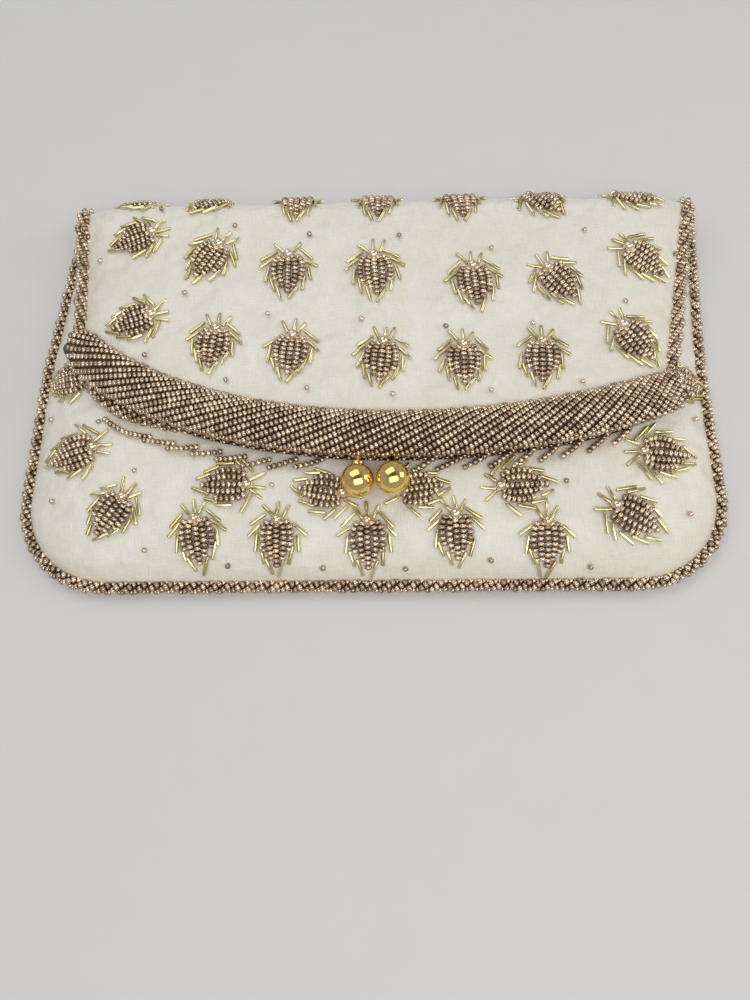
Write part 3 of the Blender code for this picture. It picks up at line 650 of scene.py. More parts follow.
@dataclass
class BeadBox:
    """The bead shapes and the tree of nodes that threads them, shared by all the beadwork."""

    seed_radius: float = 1.04 * MM
    seed_length: float = 1.46 * MM
    seed_hole: float = 0.34 * MM
    bugle_radius: float = 0.61 * MM
    bugle_length: float = 5.0 * MM
    head_radius: float = 1.9 * MM
    head_length: float = 3.4 * MM
    shapes: dict = field(default_factory=dict)
    tree: Optional[bpy.types.NodeTree] = None

    def seed_profile(self) -> tuple:
        """Return the profile of a rounded seed bead with its hole."""
        radius, half, hole = self.seed_radius, self.seed_length / 2, self.seed_hole
        shoulder = mix(hole, radius, 0.55)
        return (
            (hole, -half * 0.72), (shoulder, -half), (radius, -half * 0.42),
            (radius, half * 0.42), (shoulder, half), (hole, half * 0.72),
        )  # fmt: skip

    def bugle_profile(self) -> tuple:
        """Return the profile of a bugle bead, a short tube with dulled rims."""
        tube, wall = self.bugle_length / 2, self.bugle_radius
        return (
            (wall * 0.55, -tube), (wall * 0.92, -tube), (wall, -tube * 0.95),
            (wall, tube * 0.95), (wall * 0.92, tube), (wall * 0.55, tube),
        )  # fmt: skip

    def head_profile(self) -> tuple:
        """Return the profile of a round bead with a small hole."""
        turns = [math.radians(18 + 18 * i) for i in range(9)]
        half = self.head_length / 2
        return tuple((self.head_radius * math.sin(turn), -half * math.cos(turn)) for turn in turns)

    def open(self) -> None:
        """Make the bead shapes and the tree."""
        beads = (
            (Bead.SEED, "seed_bead", self.seed_profile(), 9),
            (Bead.BUGLE, "bugle", self.bugle_profile(), 8),
            (Bead.HEAD, "head_bead", self.head_profile(), 16),
        )
        for bead, name, profile, sides in beads:
            self.shapes[bead] = new_object(name, Lathe(name, profile, sides).make())
        self.tree = self.grow_tree()

    def close(self) -> None:
        """Remove the bead shapes once all the beadwork is plain mesh."""
        for shape in self.shapes.values():
            bpy.data.objects.remove(shape, do_unlink=True)

    def grow_tree(self) -> bpy.types.NodeTree:
        """Return the tree: beads threaded along edges, and single beads sewn on marked points."""
        tree = bpy.data.node_groups.new("beadwork", "GeometryNodeTree")
        inputs = {"Geometry": "Geometry", "Pitch": "Float", "Size Spread": "Float", "Girth": "Float"}
        inputs["Random Seed"] = "Int"
        for bead in Bead:
            inputs |= {bead.socket("Shape"): "Object", bead.socket("Finish"): "Material"}
        for name, kind in inputs.items():
            tree.interface.new_socket(name, in_out="INPUT", socket_type="NodeSocket" + kind)
        tree.interface.new_socket("Geometry", in_out="OUTPUT", socket_type="NodeSocketGeometry")

        def add(kind: str, **settings: object) -> bpy.types.Node:
            """Add a node with its settings."""
            node = tree.nodes.new(kind)
            for key, value in settings.items():
                setattr(node, key, value)
            return node

        def join(source: Socket, target: Socket) -> None:
            """Join an output to an input."""
            tree.links.new(source, target)

        given, result = add("NodeGroupInput"), add("NodeGroupOutput")
        together = add("GeometryNodeJoinGeometry")

        def chance(low: Value, high: Value, salt: int) -> Socket:
            """Return a random value for each bead, from the tree's seed."""
            salted = add("ShaderNodeMath", operation="ADD")
            join(given.outputs["Random Seed"], salted.inputs[0])
            salted.inputs[1].default_value = salt
            node = add("FunctionNodeRandomValue", data_type="FLOAT")
            for socket, value in ((2, low), (3, high)):
                if isinstance(value, Socket):
                    join(value, node.inputs[socket])
                else:
                    node.inputs[socket].default_value = value
            join(salted.outputs[0], node.inputs["Seed"])
            return node.outputs[1]

        def sew(
            points: Socket, bead: Bead, way: Socket, stretch: Optional[Socket], chosen: Optional[Socket] = None
        ) -> None:
            """Put one bead on each point.

            Args:
                points: where the beads go.
                bead: which bead.
                way: the way that its hole takes.
                stretch: its own size along three ways, or nothing for the tree's girth.
                chosen: which of the points get this bead.
            """
            shape = add("GeometryNodeObjectInfo")
            join(given.outputs[bead.socket("Shape")], shape.inputs["Object"])
            aligned = add("FunctionNodeAlignRotationToVector", axis="Z")
            join(way, aligned.inputs["Vector"])
            roll = add("ShaderNodeCombineXYZ")
            join(chance(0.0, 2 * math.pi, 3), roll.inputs[2])
            turned = add("FunctionNodeRotateRotation", rotation_space="LOCAL")
            join(aligned.outputs[0], turned.inputs[0])
            join(roll.outputs[0], turned.inputs[1])
            smallest = add("ShaderNodeMath", operation="SUBTRACT")
            smallest.inputs[0].default_value = 1.0
            join(given.outputs["Size Spread"], smallest.inputs[1])
            size = add("ShaderNodeVectorMath", operation="SCALE")
            if stretch is None:
                wide = add("ShaderNodeCombineXYZ")
                join(given.outputs["Girth"], wide.inputs[0])
                join(given.outputs["Girth"], wide.inputs[1])
                wide.inputs[2].default_value = 1.0
                join(wide.outputs[0], size.inputs[0])
            else:
                join(stretch, size.inputs[0])
            join(chance(smallest.outputs[0], LARGEST_BEAD, 5), size.inputs["Scale"])
            placed = add("GeometryNodeInstanceOnPoints")
            join(points, placed.inputs["Points"])
            join(shape.outputs["Geometry"], placed.inputs["Instance"])
            join(turned.outputs[0], placed.inputs["Rotation"])
            join(size.outputs[0], placed.inputs["Scale"])
            if chosen is not None:
                join(chosen, placed.inputs["Selection"])
            toned = add("GeometryNodeStoreNamedAttribute", data_type="FLOAT", domain="INSTANCE")
            toned.inputs["Name"].default_value = "tone"
            join(placed.outputs[0], toned.inputs[0])
            join(chance(0.0, 1.0, 7), toned.inputs["Value"])
            real = add("GeometryNodeRealizeInstances")
            join(toned.outputs[0], real.inputs[0])
            dressed = add("GeometryNodeSetMaterial")
            join(real.outputs[0], dressed.inputs[0])
            join(given.outputs[bead.socket("Finish")], dressed.inputs["Material"])
            join(dressed.outputs[0], together.inputs[0])

        threads = add("GeometryNodeMeshToCurve")
        join(given.outputs["Geometry"], threads.inputs[0])
        strung = add("GeometryNodeResampleCurve", mode="LENGTH")
        join(threads.outputs[0], strung.inputs[0])
        join(given.outputs["Pitch"], strung.inputs["Length"])
        sew(strung.outputs[0], Bead.SEED, add("GeometryNodeInputTangent").outputs[0], None)
        for bead in Bead:
            marks = {}
            for name, kind in (("kind", "INT"), ("way", "FLOAT_VECTOR"), ("stretch", "FLOAT_VECTOR")):
                mark = add("GeometryNodeInputNamedAttribute", data_type=kind)
                mark.inputs[0].default_value = name
                marks[name] = mark.outputs[0]
            same = add("FunctionNodeCompare", data_type="INT", operation="EQUAL")
            join(marks["kind"], same.inputs[2])
            same.inputs[3].default_value = bead.value
            sew(given.outputs["Geometry"], bead, marks["way"], marks["stretch"], same.outputs[0])
        join(together.outputs[0], result.inputs[0])
        return tree


BEADS = BeadBox()


@dataclass
class Threadwork:
    """Threads and single beads laid out for one piece."""

    name: str
    pitch: float = 1.5 * MM
    size_spread: float = 0.09
    seed: int = 1
    girth: float = 1.0
    points: list = field(default_factory=list)
    edges: list = field(default_factory=list)
    kinds: list = field(default_factory=list)
    ways: list = field(default_factory=list)
    stretches: list = field(default_factory=list)

    def mark(self, place: Vector, kind: int, way: Vector, stretch: tuple) -> int:
        """Add a point and return its number.

        Args:
            place: of the point.
            kind: the bead's number, or 0 on a thread.
            way: the way that the bead's hole takes.
            stretch: the bead's size along three ways.

        Returns:
            The point's number.
        """
        self.points.append(tuple(place))
        self.kinds.append(kind)
        self.ways.append(tuple(way))
        self.stretches.append(stretch)
        return len(self.points) - 1

    def thread(self, path: Sequence[Vector]) -> None:
        """Lay a thread of seed beads along a path."""
        numbers = [self.mark(place, 0, Vector((0, 0, 1)), (1, 1, 1)) for place in path]
        self.edges += list(zip(numbers, numbers[1:]))

    def single(self, bead: Bead, place: Vector, way: Vector, stretch: tuple = (1, 1, 1)) -> None:
        """Sew one bead at a place, its hole along a way."""
        self.mark(place, bead.value, way.normalized(), stretch)

    def make(self) -> bpy.types.Object:
        """String the beads and return the piece as a plain mesh object."""
        mesh = bpy.data.meshes.new(self.name)
        mesh.from_pydata(self.points, self.edges, [])
        mesh.attributes.new("kind", "INT", "POINT").data.foreach_set("value", self.kinds)
        for name, values in (("way", self.ways), ("stretch", self.stretches)):
            flat = [part for value in values for part in value]
            mesh.attributes.new(name, "FLOAT_VECTOR", "POINT").data.foreach_set("vector", flat)
        item = new_object(self.name, mesh)
        step = item.modifiers.new("Beadwork", "NODES")
        step.node_group = BEADS.tree
        given = {"Pitch": self.pitch, "Size Spread": self.size_spread, "Girth": self.girth}
        given["Random Seed"] = self.seed
        for bead in Bead:
            given[bead.socket("Shape")] = BEADS.shapes[bead]
            given[bead.socket("Finish")] = Finish[bead.name].material()
        for socket in BEADS.tree.interface.items_tree:
            if socket.in_out == "INPUT" and socket.name in given:
                step[socket.identifier] = given[socket.name]
        bake_modifiers(item)
        item.data.shade_smooth()
        return item


# ------------------------------------------------------------------ sprigs
@dataclass(frozen=True)
class Sprig:
    """One leaf sprig: its place on the cloth, its heading in degrees clockwise from +Y, and its length."""

    node: Optional[str]
    x: float
    y: float
    heading: float
    length: float = 16.0


# The pattern of a sprig in millimetres: columns of seed beads, the head bead, and a ring of bugles
SEED_COLUMNS = (
    ((0.0, 4.3), (0.0, -7.0)),
    ((-1.5, 5.3), (-2.2, 3.2), (-2.25, -1.5), (-1.75, -5.0)),
    ((1.5, 5.3), (2.2, 3.2), (2.25, -1.5), (1.75, -5.0)),
    ((-3.3, 5.4), (-4.35, 3.4), (-4.55, 0.0), (-4.05, -2.7)),
    ((3.3, 5.4), (4.35, 3.4), (4.55, 0.0), (4.05, -2.7)),
)
HEAD_PLACE = (0.0, 6.35)
BUGLES = (
    ((-1.5, 7.5), (-3.9, 11.1)), ((0.1, 8.0), (0.2, 11.9)), ((1.9, 7.5), (3.6, 10.9)),
    ((-3.9, 7.9), (-7.8, 4.9)), ((3.9, 8.0), (7.9, 5.0)), ((-5.3, 4.9), (-8.7, 1.7)),
    ((5.3, 4.9), (8.7, 1.9)), ((-6.3, 1.6), (-6.8, -2.9)), ((6.4, 1.7), (6.9, -2.6)),
    ((-5.4, -2.2), (-4.4, -6.4)), ((5.4, -2.2), (4.2, -6.3)), ((-3.3, -5.4), (-2.0, -9.2)),
    ((2.7, -5.7), (0.4, -9.7)),
)  # fmt: skip
PATTERN_LENGTH = 15.9
COLUMN_ARCH = 0.32 * MM
SEWN_PITCH = 1.52 * MM
BUGLE_LOST = 0.04  # the chance that a bugle has come off
BUGLE_REST = 0.08 * MM


@dataclass
class Sprigs:
    """Rows of sprigs on one surface, each sprig a piece of its own."""

    place: Place
    rows: dict
    settle: Settle
    seed: int = 1
    sink: float = 0.12 * MM

    def build(self) -> None:
        """Make every sprig and report it."""
        for row, spots in self.rows.items():
            for number, spot in enumerate(spots, 1):
                name = f"{spot.node or f'{row}_{number}'}_beads"
                item = self.sew(name, spot, self.seed + 31 * number + len(row))
                if spot.node:
                    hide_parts(spot.node)
                self.settle(item)
                log.info("sewed %s", item.name)

    def sew(self, name: str, spot: Sprig, seed: int) -> bpy.types.Object:
        """Return one sprig's beads and bugles, laid on the cloth.

        Args:
            name: the piece's name.
            spot: where it lies.
            seed: for the small hand-sewn irregularities.

        Returns:
            The sprig as one mesh object.
        """
        draw = random.Random(seed)
        scale = spot.length / PATTERN_LENGTH * MM
        turn = math.radians(spot.heading)
        head_way = Vector((math.sin(turn), math.cos(turn)))
        side_way = Vector((math.cos(turn), -math.sin(turn)))
        middle = Vector((spot.x, spot.y)) * MM

        def lay(u: float, v: float, lift: float) -> Vector:
            """Return a place on the cloth from the sprig's own pattern."""
            flat = middle + side_way * (u * scale) + head_way * (v * scale)
            return self.place(flat.x, flat.y, lift)

        work = Threadwork(name, pitch=SEWN_PITCH, seed=seed, girth=1.18)
        seat = BEADS.seed_radius - self.sink
        for column in SEED_COLUMNS:
            drift = draw.uniform(-0.08, 0.08)
            path = [(u + drift + draw.uniform(-0.1, 0.1), v + draw.uniform(-0.15, 0.15)) for u, v in column]
            path = smooth(path, 5)
            lifts = [seat + COLUMN_ARCH * math.sin(math.pi * i / (len(path) - 1)) for i in range(len(path))]
            work.thread([lay(u, v, lift) for (u, v), lift in zip(path, lifts)])
        head = lay(*HEAD_PLACE, BEADS.head_length / 2 - 2 * self.sink)
        sideways = lay(2, HEAD_PLACE[1], 0) - lay(-2, HEAD_PLACE[1], 0)
        work.single(Bead.HEAD, head, sideways.normalized() + Vector((0, 0, draw.uniform(-0.3, 0.3))))
        for (u0, v0), (u1, v1) in BUGLES:
            if draw.random() < BUGLE_LOST:
                continue
            swing = math.radians(draw.gauss(0, 6))
            middle_u, middle_v = (u0 + u1) / 2 + draw.gauss(0, 0.18), (v0 + v1) / 2 + draw.gauss(0, 0.18)
            du, dv = (u1 - u0) / 2, (v1 - v0) / 2
            du, dv = du * math.cos(swing) - dv * math.sin(swing), du * math.sin(swing) + dv * math.cos(swing)
            rest = BEADS.bugle_radius + BUGLE_REST
            start = lay(middle_u - du, middle_v - dv, rest + draw.uniform(0, 0.35) * MM)
            end = lay(middle_u + du, middle_v + dv, rest)
            share = draw.uniform(1.12, 1.28) * (end - start).length / BEADS.bugle_length
            work.single(Bead.BUGLE, (start + end) / 2, end - start, (1, 1, max(share, 0.9)))
        return work.make()


def smooth(path: Sequence[tuple[float, float]], steps: int) -> list[tuple[float, float]]:
    """Return a path rounded by a Catmull-Rom curve, `steps` points for each stretch.

    Args:
        path: the points that the curve goes through.
        steps: points made for each stretch.

    Returns:
        The rounded path.
    """
    ends = [path[0], *path, path[-1]]
    result = []
    for k in range(1, len(ends) - 2):
        a, b, c, d = ends[k - 1 : k + 3]
        for i in range(steps):
            t = i / steps
            result.append(tuple(
                0.5 * (2 * b[n] + (c[n] - a[n]) * t + (2 * a[n] - 5 * b[n] + 4 * c[n] - d[n]) * t**2
                       + (3 * b[n] - a[n] - 3 * c[n] + d[n]) * t**3)
                for n in range(2)
            ))  # fmt: skip
    return [*result, path[-1]]


def row(kind: str, *spots: tuple) -> list[Sprig]:
    """Return a row of sprigs that stand for the frame's nodes of that row."""
    return [Sprig(f"sprig_{kind}_{number}", *spot) for number, spot in enumerate(spots, 1)]


FLAP_SPRIGS = {
    "fold": row("fold", (-85, 73, 80, 16), (-58, 69.5, 40, 16), (-26, 67.5, 0, 16), (3, 67, 0, 16),
                (32.5, 66.5, -5, 16.5), (62, 66, -40, 17), (95, 69, -68, 17)),
    "upper": row("upper", (-83, 52, 70, 16.4), (-56, 42, 30, 17.5), (-28, 36, -1, 17.5), (2, 35, -4, 18),
                 (36, 30.2, -5, 17.5), (64.6, 30.6, -36, 17), (95, 40.6, -54, 17)),
    "lower": row("lower", (-80, 18, 73, 16.5), (-52, 7.2, 6, 16.5), (-26, 4, 5, 16.8), (4, 1, 6, 16.8),
                 (31, -0.4, 0, 16.5), (56.5, 0.4, 3, 16.5), (88.5, 8, -38, 17.4)),
}  # fmt: skip
FRONT_SPRIGS = {
    "band": [*row("band", (-96.5, -28.7, 75, 17.5), (-45.5, -40.6, 90, 17), (48, -41.6, -93, 17.2),
                  (94, -31, -87, 17.5)),
             Sprig("sprig_clasp_1", -14.8, -42.8, 99, 16.4), Sprig("sprig_clasp_2", 15.9, -42.4, -99, 15.5)],
    "hem": row("hem", (-81.6, -49.6, 34, 16), (-54, -57.6, -7, 16), (-29, -58.4, 0, 15.8),
               (-0.6, -59, -2, 16.2), (27, -57, -3, 15.5), (55, -59.4, 1, 15.3), (82.4, -52.2, -58, 17)),
    "side": [Sprig("sprig_side_1", -102.2, -0.6, 92, 16), Sprig("sprig_side_2", 104.5, -4, -88, 15.5)],
}  # fmt: skip


def back_row(y: float, *turns: float) -> list[Sprig]:
    """Return seven sprigs across the back, from the three left ones' headings."""
    headings = (*turns, 0, *(-turn for turn in reversed(turns)))
    return [Sprig(None, x, y, heading) for x, heading in zip(range(-84, 85, 28), headings)]


BACK_SPRIGS = {
    "back_upper": back_row(30, 60, 35, 12),
    "back_middle": back_row(-6, 75, 20, 5),
    "back_lower": back_row(-42, 40, 8, 0),
}


# ------------------------------------------------------------------ strands wound on rolls
RING_STEPS = 90
STRAND_STEP = 0.5 * MM


@dataclass
class Winding:
    """Strands of seed beads wound slantwise round a roll that follows a path.

    Args:
        centre: gives the roll's middle and the ways across and up at a share of its path.
        half_width: of the ring of bead middles, across.
        half_height: of the same ring, up.
        length: of the path.
        slant: angle of the strands from the path, in radians.
        spacing: between strands along the path.
        taper: gives the roll's size at a share of its path.
        bulge: how much further out the middle of each strand lies, as a share.
        wander: how far a strand may lie off its place.
        widest: how far along X, to either side, the strands may reach.
    """

    centre: Path
    half_width: float
    half_height: float
    length: float
    slant: float
    spacing: float
    taper: Callable[[float], float]
    bulge: float = 0.0
    wander: float = 0.1 * MM
    widest: float = 1.0

    def __post_init__(self) -> None:
        """Measure the ring's half turn from its lower edge over the top to its upper edge."""
        self.turns = [math.pi * (1 - i / RING_STEPS) for i in range(RING_STEPS + 1)]
        self.lengths = [0.0]
        for a, b in zip(self.turns, self.turns[1:]):
            across = self.half_width * (math.cos(b) - math.cos(a))
            up = self.half_height * (math.sin(b) - math.sin(a))
            self.lengths.append(self.lengths[-1] + math.hypot(across, up))

    def angle(self, round_share: float) -> float:
        """Return the angle on the ring; 0 to 1 goes over the top and 1 to 2 underneath.

        Args:
            round_share: how far round the ring, in half turns.

        Returns:
            The angle, falling as the share grows.
        """
        whole, part = divmod(round_share, 1.0)
        target = part * self.lengths[-1]
        low = max(i for i, value in enumerate(self.lengths) if value <= target + 1e-12)
        if low >= RING_STEPS:
            angle = 0.0
        else:
            rise = (target - self.lengths[low]) / (self.lengths[low + 1] - self.lengths[low])
            angle = mix(self.turns[low], self.turns[low + 1], rise)
        return angle - math.pi * whole

    def strand(self, start: float, first: float, last: float, draw: random.Random) -> list[Vector]:
        """Return one strand's path.

        Args:
            start: where along the path its lower edge crossing lies, in metres.
            first: where round the ring it starts.
            last: where it ends.
            draw: for the small irregularities.

        Returns:
            The places of the strand, or fewer where it leaves the roll's end.
        """
        half_turn = self.lengths[-1]
        spot, turned, places = start, first, []
        if first < 0:
            spot += first * half_turn / math.tan(self.slant)
        lean, lift = draw.uniform(-1, 1) * self.wander, draw.uniform(-1, 1) * self.wander
        while turned <= last and spot < self.length:
            if spot >= 0:
                share = spot / self.length
                size = self.taper(share)
                if size > 0.05:
                    middle, across, up = self.centre(share)
                    angle = self.angle(turned)
                    out = 1 + self.bulge * math.sin(math.pi * clamp((turned - first) / (last - first)))
                    reach = (self.half_width * size * out + lean) * math.cos(angle)
                    rise = (self.half_height * size * out + lift) * math.sin(angle)
                    place = middle + across * reach + up * rise
                    if abs(place.x) < self.widest:
                        places.append(place)
            size = max(self.taper(clamp(spot / self.length)), 0.7)
            spot += STRAND_STEP * math.cos(self.slant)
            turned += STRAND_STEP * math.sin(self.slant) / (half_turn * size)
        return places

    def wind(self, name: str, first: float, last: float, seed: int) -> bpy.types.Object:
        """Return all the strands between two places round the ring as one piece.

        Args:
            name: the piece's name.
            first: where round the ring the strands start.
            last: where they end.
            seed: for the small irregularities.

        Returns:
            The strands as one mesh object.
        """
        work = Threadwork(name, seed=seed)
        draw = random.Random(seed)
        reach = (last - min(first, 0)) * self.lengths[-1] / math.tan(self.slant)
        start = -reach
        while start < self.length:
            path = self.strand(start + draw.uniform(-0.15, 0.15) * MM, first, last, draw)
            if len(path) > 3:
                work.thread(path)
            start += self.spacing
        return work.make()


def ride(item: bpy.types.Object, body: str, slot: str, *nodes: str) -> None:
    """Finish a rigid piece: hide what it replaces and put it on its body.

    Args:
        item: the piece.
        body: the body that it rides on.
        slot: not used.
        nodes: the frame's nodes that it stands for.
    """
    if nodes:
        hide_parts(*nodes)
    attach(item, body)
    log.info("%s rides on %s", item.name, body)


BEND_REACH = 10 * MM


def bend(item: bpy.types.Object) -> None:
    """Bake a flap piece's place into its mesh; the hinge line's ends are worked out but not used, and the
    piece does not bend.
    """
    left, right = Vector(BAG.hinge_left), Vector(BAG.hinge_right)
    middle = ((left + right) / 2).to_3d() + Vector((0, 0, BAG.hinge_z))
    across = Vector((left.y - right.y, right.x - left.x, 0)).normalized()
    start, end = middle + across * BEND_REACH, middle - across * BEND_REACH
    tuple(start)
    tuple(end)
    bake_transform(item)
    log.info("%s bends at the hinge line", item.name)


def stay(item: bpy.types.Object) -> None:
    """Let a piece stay on the pouch."""
    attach(item, "pouch")


# ------------------------------------------------------------------ cloth
LEAST_AREA = 0.31  # of its flat box, the least that a sheet's cut outline fills
EDGE_WEAR = 7.0  # grid steps over which the yellowed edge fades


def lay_out(lay: Callable, columns: int, rows: int) -> tuple[list, list]:
    """Return a grid's places on the bag and its flat places, row by row.

    Args:
        lay: how the cloth lies.
        columns: of the grid.
        rows: of the grid.

    Returns:
        The places and the flat places.
    """
    laid = [lay(i / columns, j / rows) for j in range(rows + 1) for i in range(columns + 1)]
    return [place for place, _ in laid], [flat for _, flat in laid]


def grid_mesh(name: str, places: Sequence[Vector], columns: int, rows: int) -> bpy.types.Mesh:
    """Return a mesh of quads over a grid of places.

    Args:
        name: the mesh's name.
        places: row by row.
        columns: of quads.
        rows: of quads.

    Returns:
        The mesh.
    """
    wide = columns + 1
    starts = [j * wide + i for j in range(rows) for i in range(columns)]
    mesh = bpy.data.meshes.new(name)
    mesh.from_pydata([tuple(p) for p in places], [], [(k, k + 1, k + wide + 1, k + wide) for k in starts])
    return mesh


def from_rim(number: int, columns: int, rows: int) -> int:
    """Return how many steps a grid's point lies from the nearest rim."""
    j, i = divmod(number, columns + 1)
    return min(i, columns - i, j, rows - j)


@dataclass
class Panel:
    """One sheet of cloth laid on a surface as a grid, with its flat size."""

    name: str
    columns: int
    rows: int
    lay: Callable[[float, float], tuple[Vector, tuple[float, float]]]
    thickness: float
    finish: Finish
    outward: float = 1.0

    def build(self, relief: Optional[Callable[[list], list]] = None) -> bpy.types.Object:
        """Return the panel.

        Args:
            relief: gives the height of the wrinkles from the grid's flat places.

        Returns:
            The panel's object, with its flat size and area in `flat` and `area`.
        """
        places, flats = lay_out(self.lay, self.columns, self.rows)
        mesh = grid_mesh(self.name, places, self.columns, self.rows)
        if relief is not None:
            heights = relief(flats)
            mesh.update()
            normals = [v.normal.copy() for v in mesh.vertices]
            for vertex, normal, height in zip(mesh.vertices, normals, heights):
                vertex.co += normal * (height * self.outward)
        uv = mesh.uv_layers.new(name="cloth")
        corners = [0] * len(mesh.loops)
        mesh.loops.foreach_get("vertex_index", corners)
        uv.data.foreach_set("uv", [part for corner in corners for part in flats[corner]])
        edge = mesh.attributes.new("edge", "FLOAT", "POINT")
        near = [math.exp(-from_rim(k, self.columns, self.rows) / EDGE_WEAR) for k in range(len(places))]
        edge.data.foreach_set("value", near)
        mesh.materials.append(self.finish.material())
        mesh.shade_smooth()
        self.area = sum(p.area for p in mesh.polygons)
        xs, ys = [f[0] for f in flats], [f[1] for f in flats]
        self.flat = (max(xs) - min(xs), max(ys) - min(ys))
        item = new_object(self.name, mesh)
        wall = item.modifiers.new("Thickness", "SOLIDIFY")
        wall.thickness = self.thickness
        wall.offset = -self.outward
        bake_modifiers(item)
        return item

    def sew_in(
        self,
        nodes: Sequence[str],
        settle: Settle,
        relief: Optional[Callable[[list], list]] = None,
    ) -> None:
        """Args:
            nodes: the frame's nodes that it stands for.
            settle: puts the piece on its body, or bakes it where it lies.
            relief: gives the height of the wrinkles.
        """
        item = self.build(relief)
        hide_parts(*nodes)
        flat_area = self.flat[0] * self.flat[1]
        area = min(max(self.area, LEAST_AREA * flat_area), flat_area)
        log.info("cut %s %.0f x %.0f mm", item.name, self.flat[0] / MM, self.flat[1] / MM)
        settle(item)


def flap_grid(depth: float, side_inset: float, lip_reach: float, under: float) -> Callable:
    """Return how a flap layer lies, from its lip round the fold to under the bag.

    Args:
        depth: of the layer under the satin.
        side_inset: how far its sides stay inside the satin's.
        lip_reach: how far its lip stays behind the outer arm.
        under: how far it runs on under the bag past the fold.

    Returns:
        A function from the grid's shares to a place and its flat place.
    """

    def lay(u: float, v: float) -> tuple[Vector, tuple[float, float]]:
        """Return a place on the layer and its flat place."""
        across = 2 * u - 1
        side = -1 if across < 0 else 1
        mouth_x = across * (BAG.hinge_right[0] + 0.5 * MM)
        share = BAG.share_at(mouth_x)
        near_end = clamp(1 - abs(2 * share - 1) ** 12)
        low = BAG.arm_place(share).y + lip_reach * near_end
        radius, turn_y = BAG.fold_turn(mouth_x)
        y = mix(low, turn_y + math.pi * radius + under, v)
        x = across * (BAG.flap_half(min(y, BAG.fold_y), side) - side_inset)
        return BAG.flap_place(x, y, -depth), (x, y)

    return lay


def front_grid(depth: float, seam_inset: float, gap: float) -> Callable:
    """Return how a layer of the front panel lies, from the seam up to the mouth.

    Args:
        depth: of the layer under the satin.
        seam_inset: how far it stays inside the seam.
        gap: how far it stays from the inner arm.

    Returns:
        A function from the grid's shares to a place and its flat place.
    """

    def lay(u: float, v: float) -> tuple[Vector, tuple[float, float]]:
        """Return a place on the layer and its flat place."""
        outer, inner = BAG.seam_point(u, seam_inset), BAG.mouth_edge(u, gap)
        x, y = mix(outer.x, inner.x, v), mix(outer.y, inner.y, v)
        return BAG.front_place(x, y, -depth), (x, y)

    return lay


BACK_TOP = 57.6 * MM


def back_grid(height: Optional[float], inset: float) -> Callable:
    """Return how a layer of the back lies, at one height or on the back's own surface.

    Args:
        height: of the layer, or nothing for the back's own surface.
        inset: how far it stays inside the seam.

    Returns:
        A function from the grid's shares to a place and its flat place.
    """

    def lay(u: float, v: float) -> tuple[Vector, tuple[float, float]]:
        """Return a place on the layer and its flat place."""
        bottom = BAG.fabric_bottom + inset
        y = mix(bottom, BACK_TOP, v)
        radius = BAG.corner_radius - inset
        below = max(radius - (y - bottom), 0)
        half = BAG.fabric_half_width - inset - radius + math.sqrt(radius**2 - below**2)
        x = (2 * u - 1) * half + BAG.lean(y)
        if height is None:
            return BAG.back_place(x, y), (x, y)
        return Vector((x, y, height)), (x, y)

    return lay


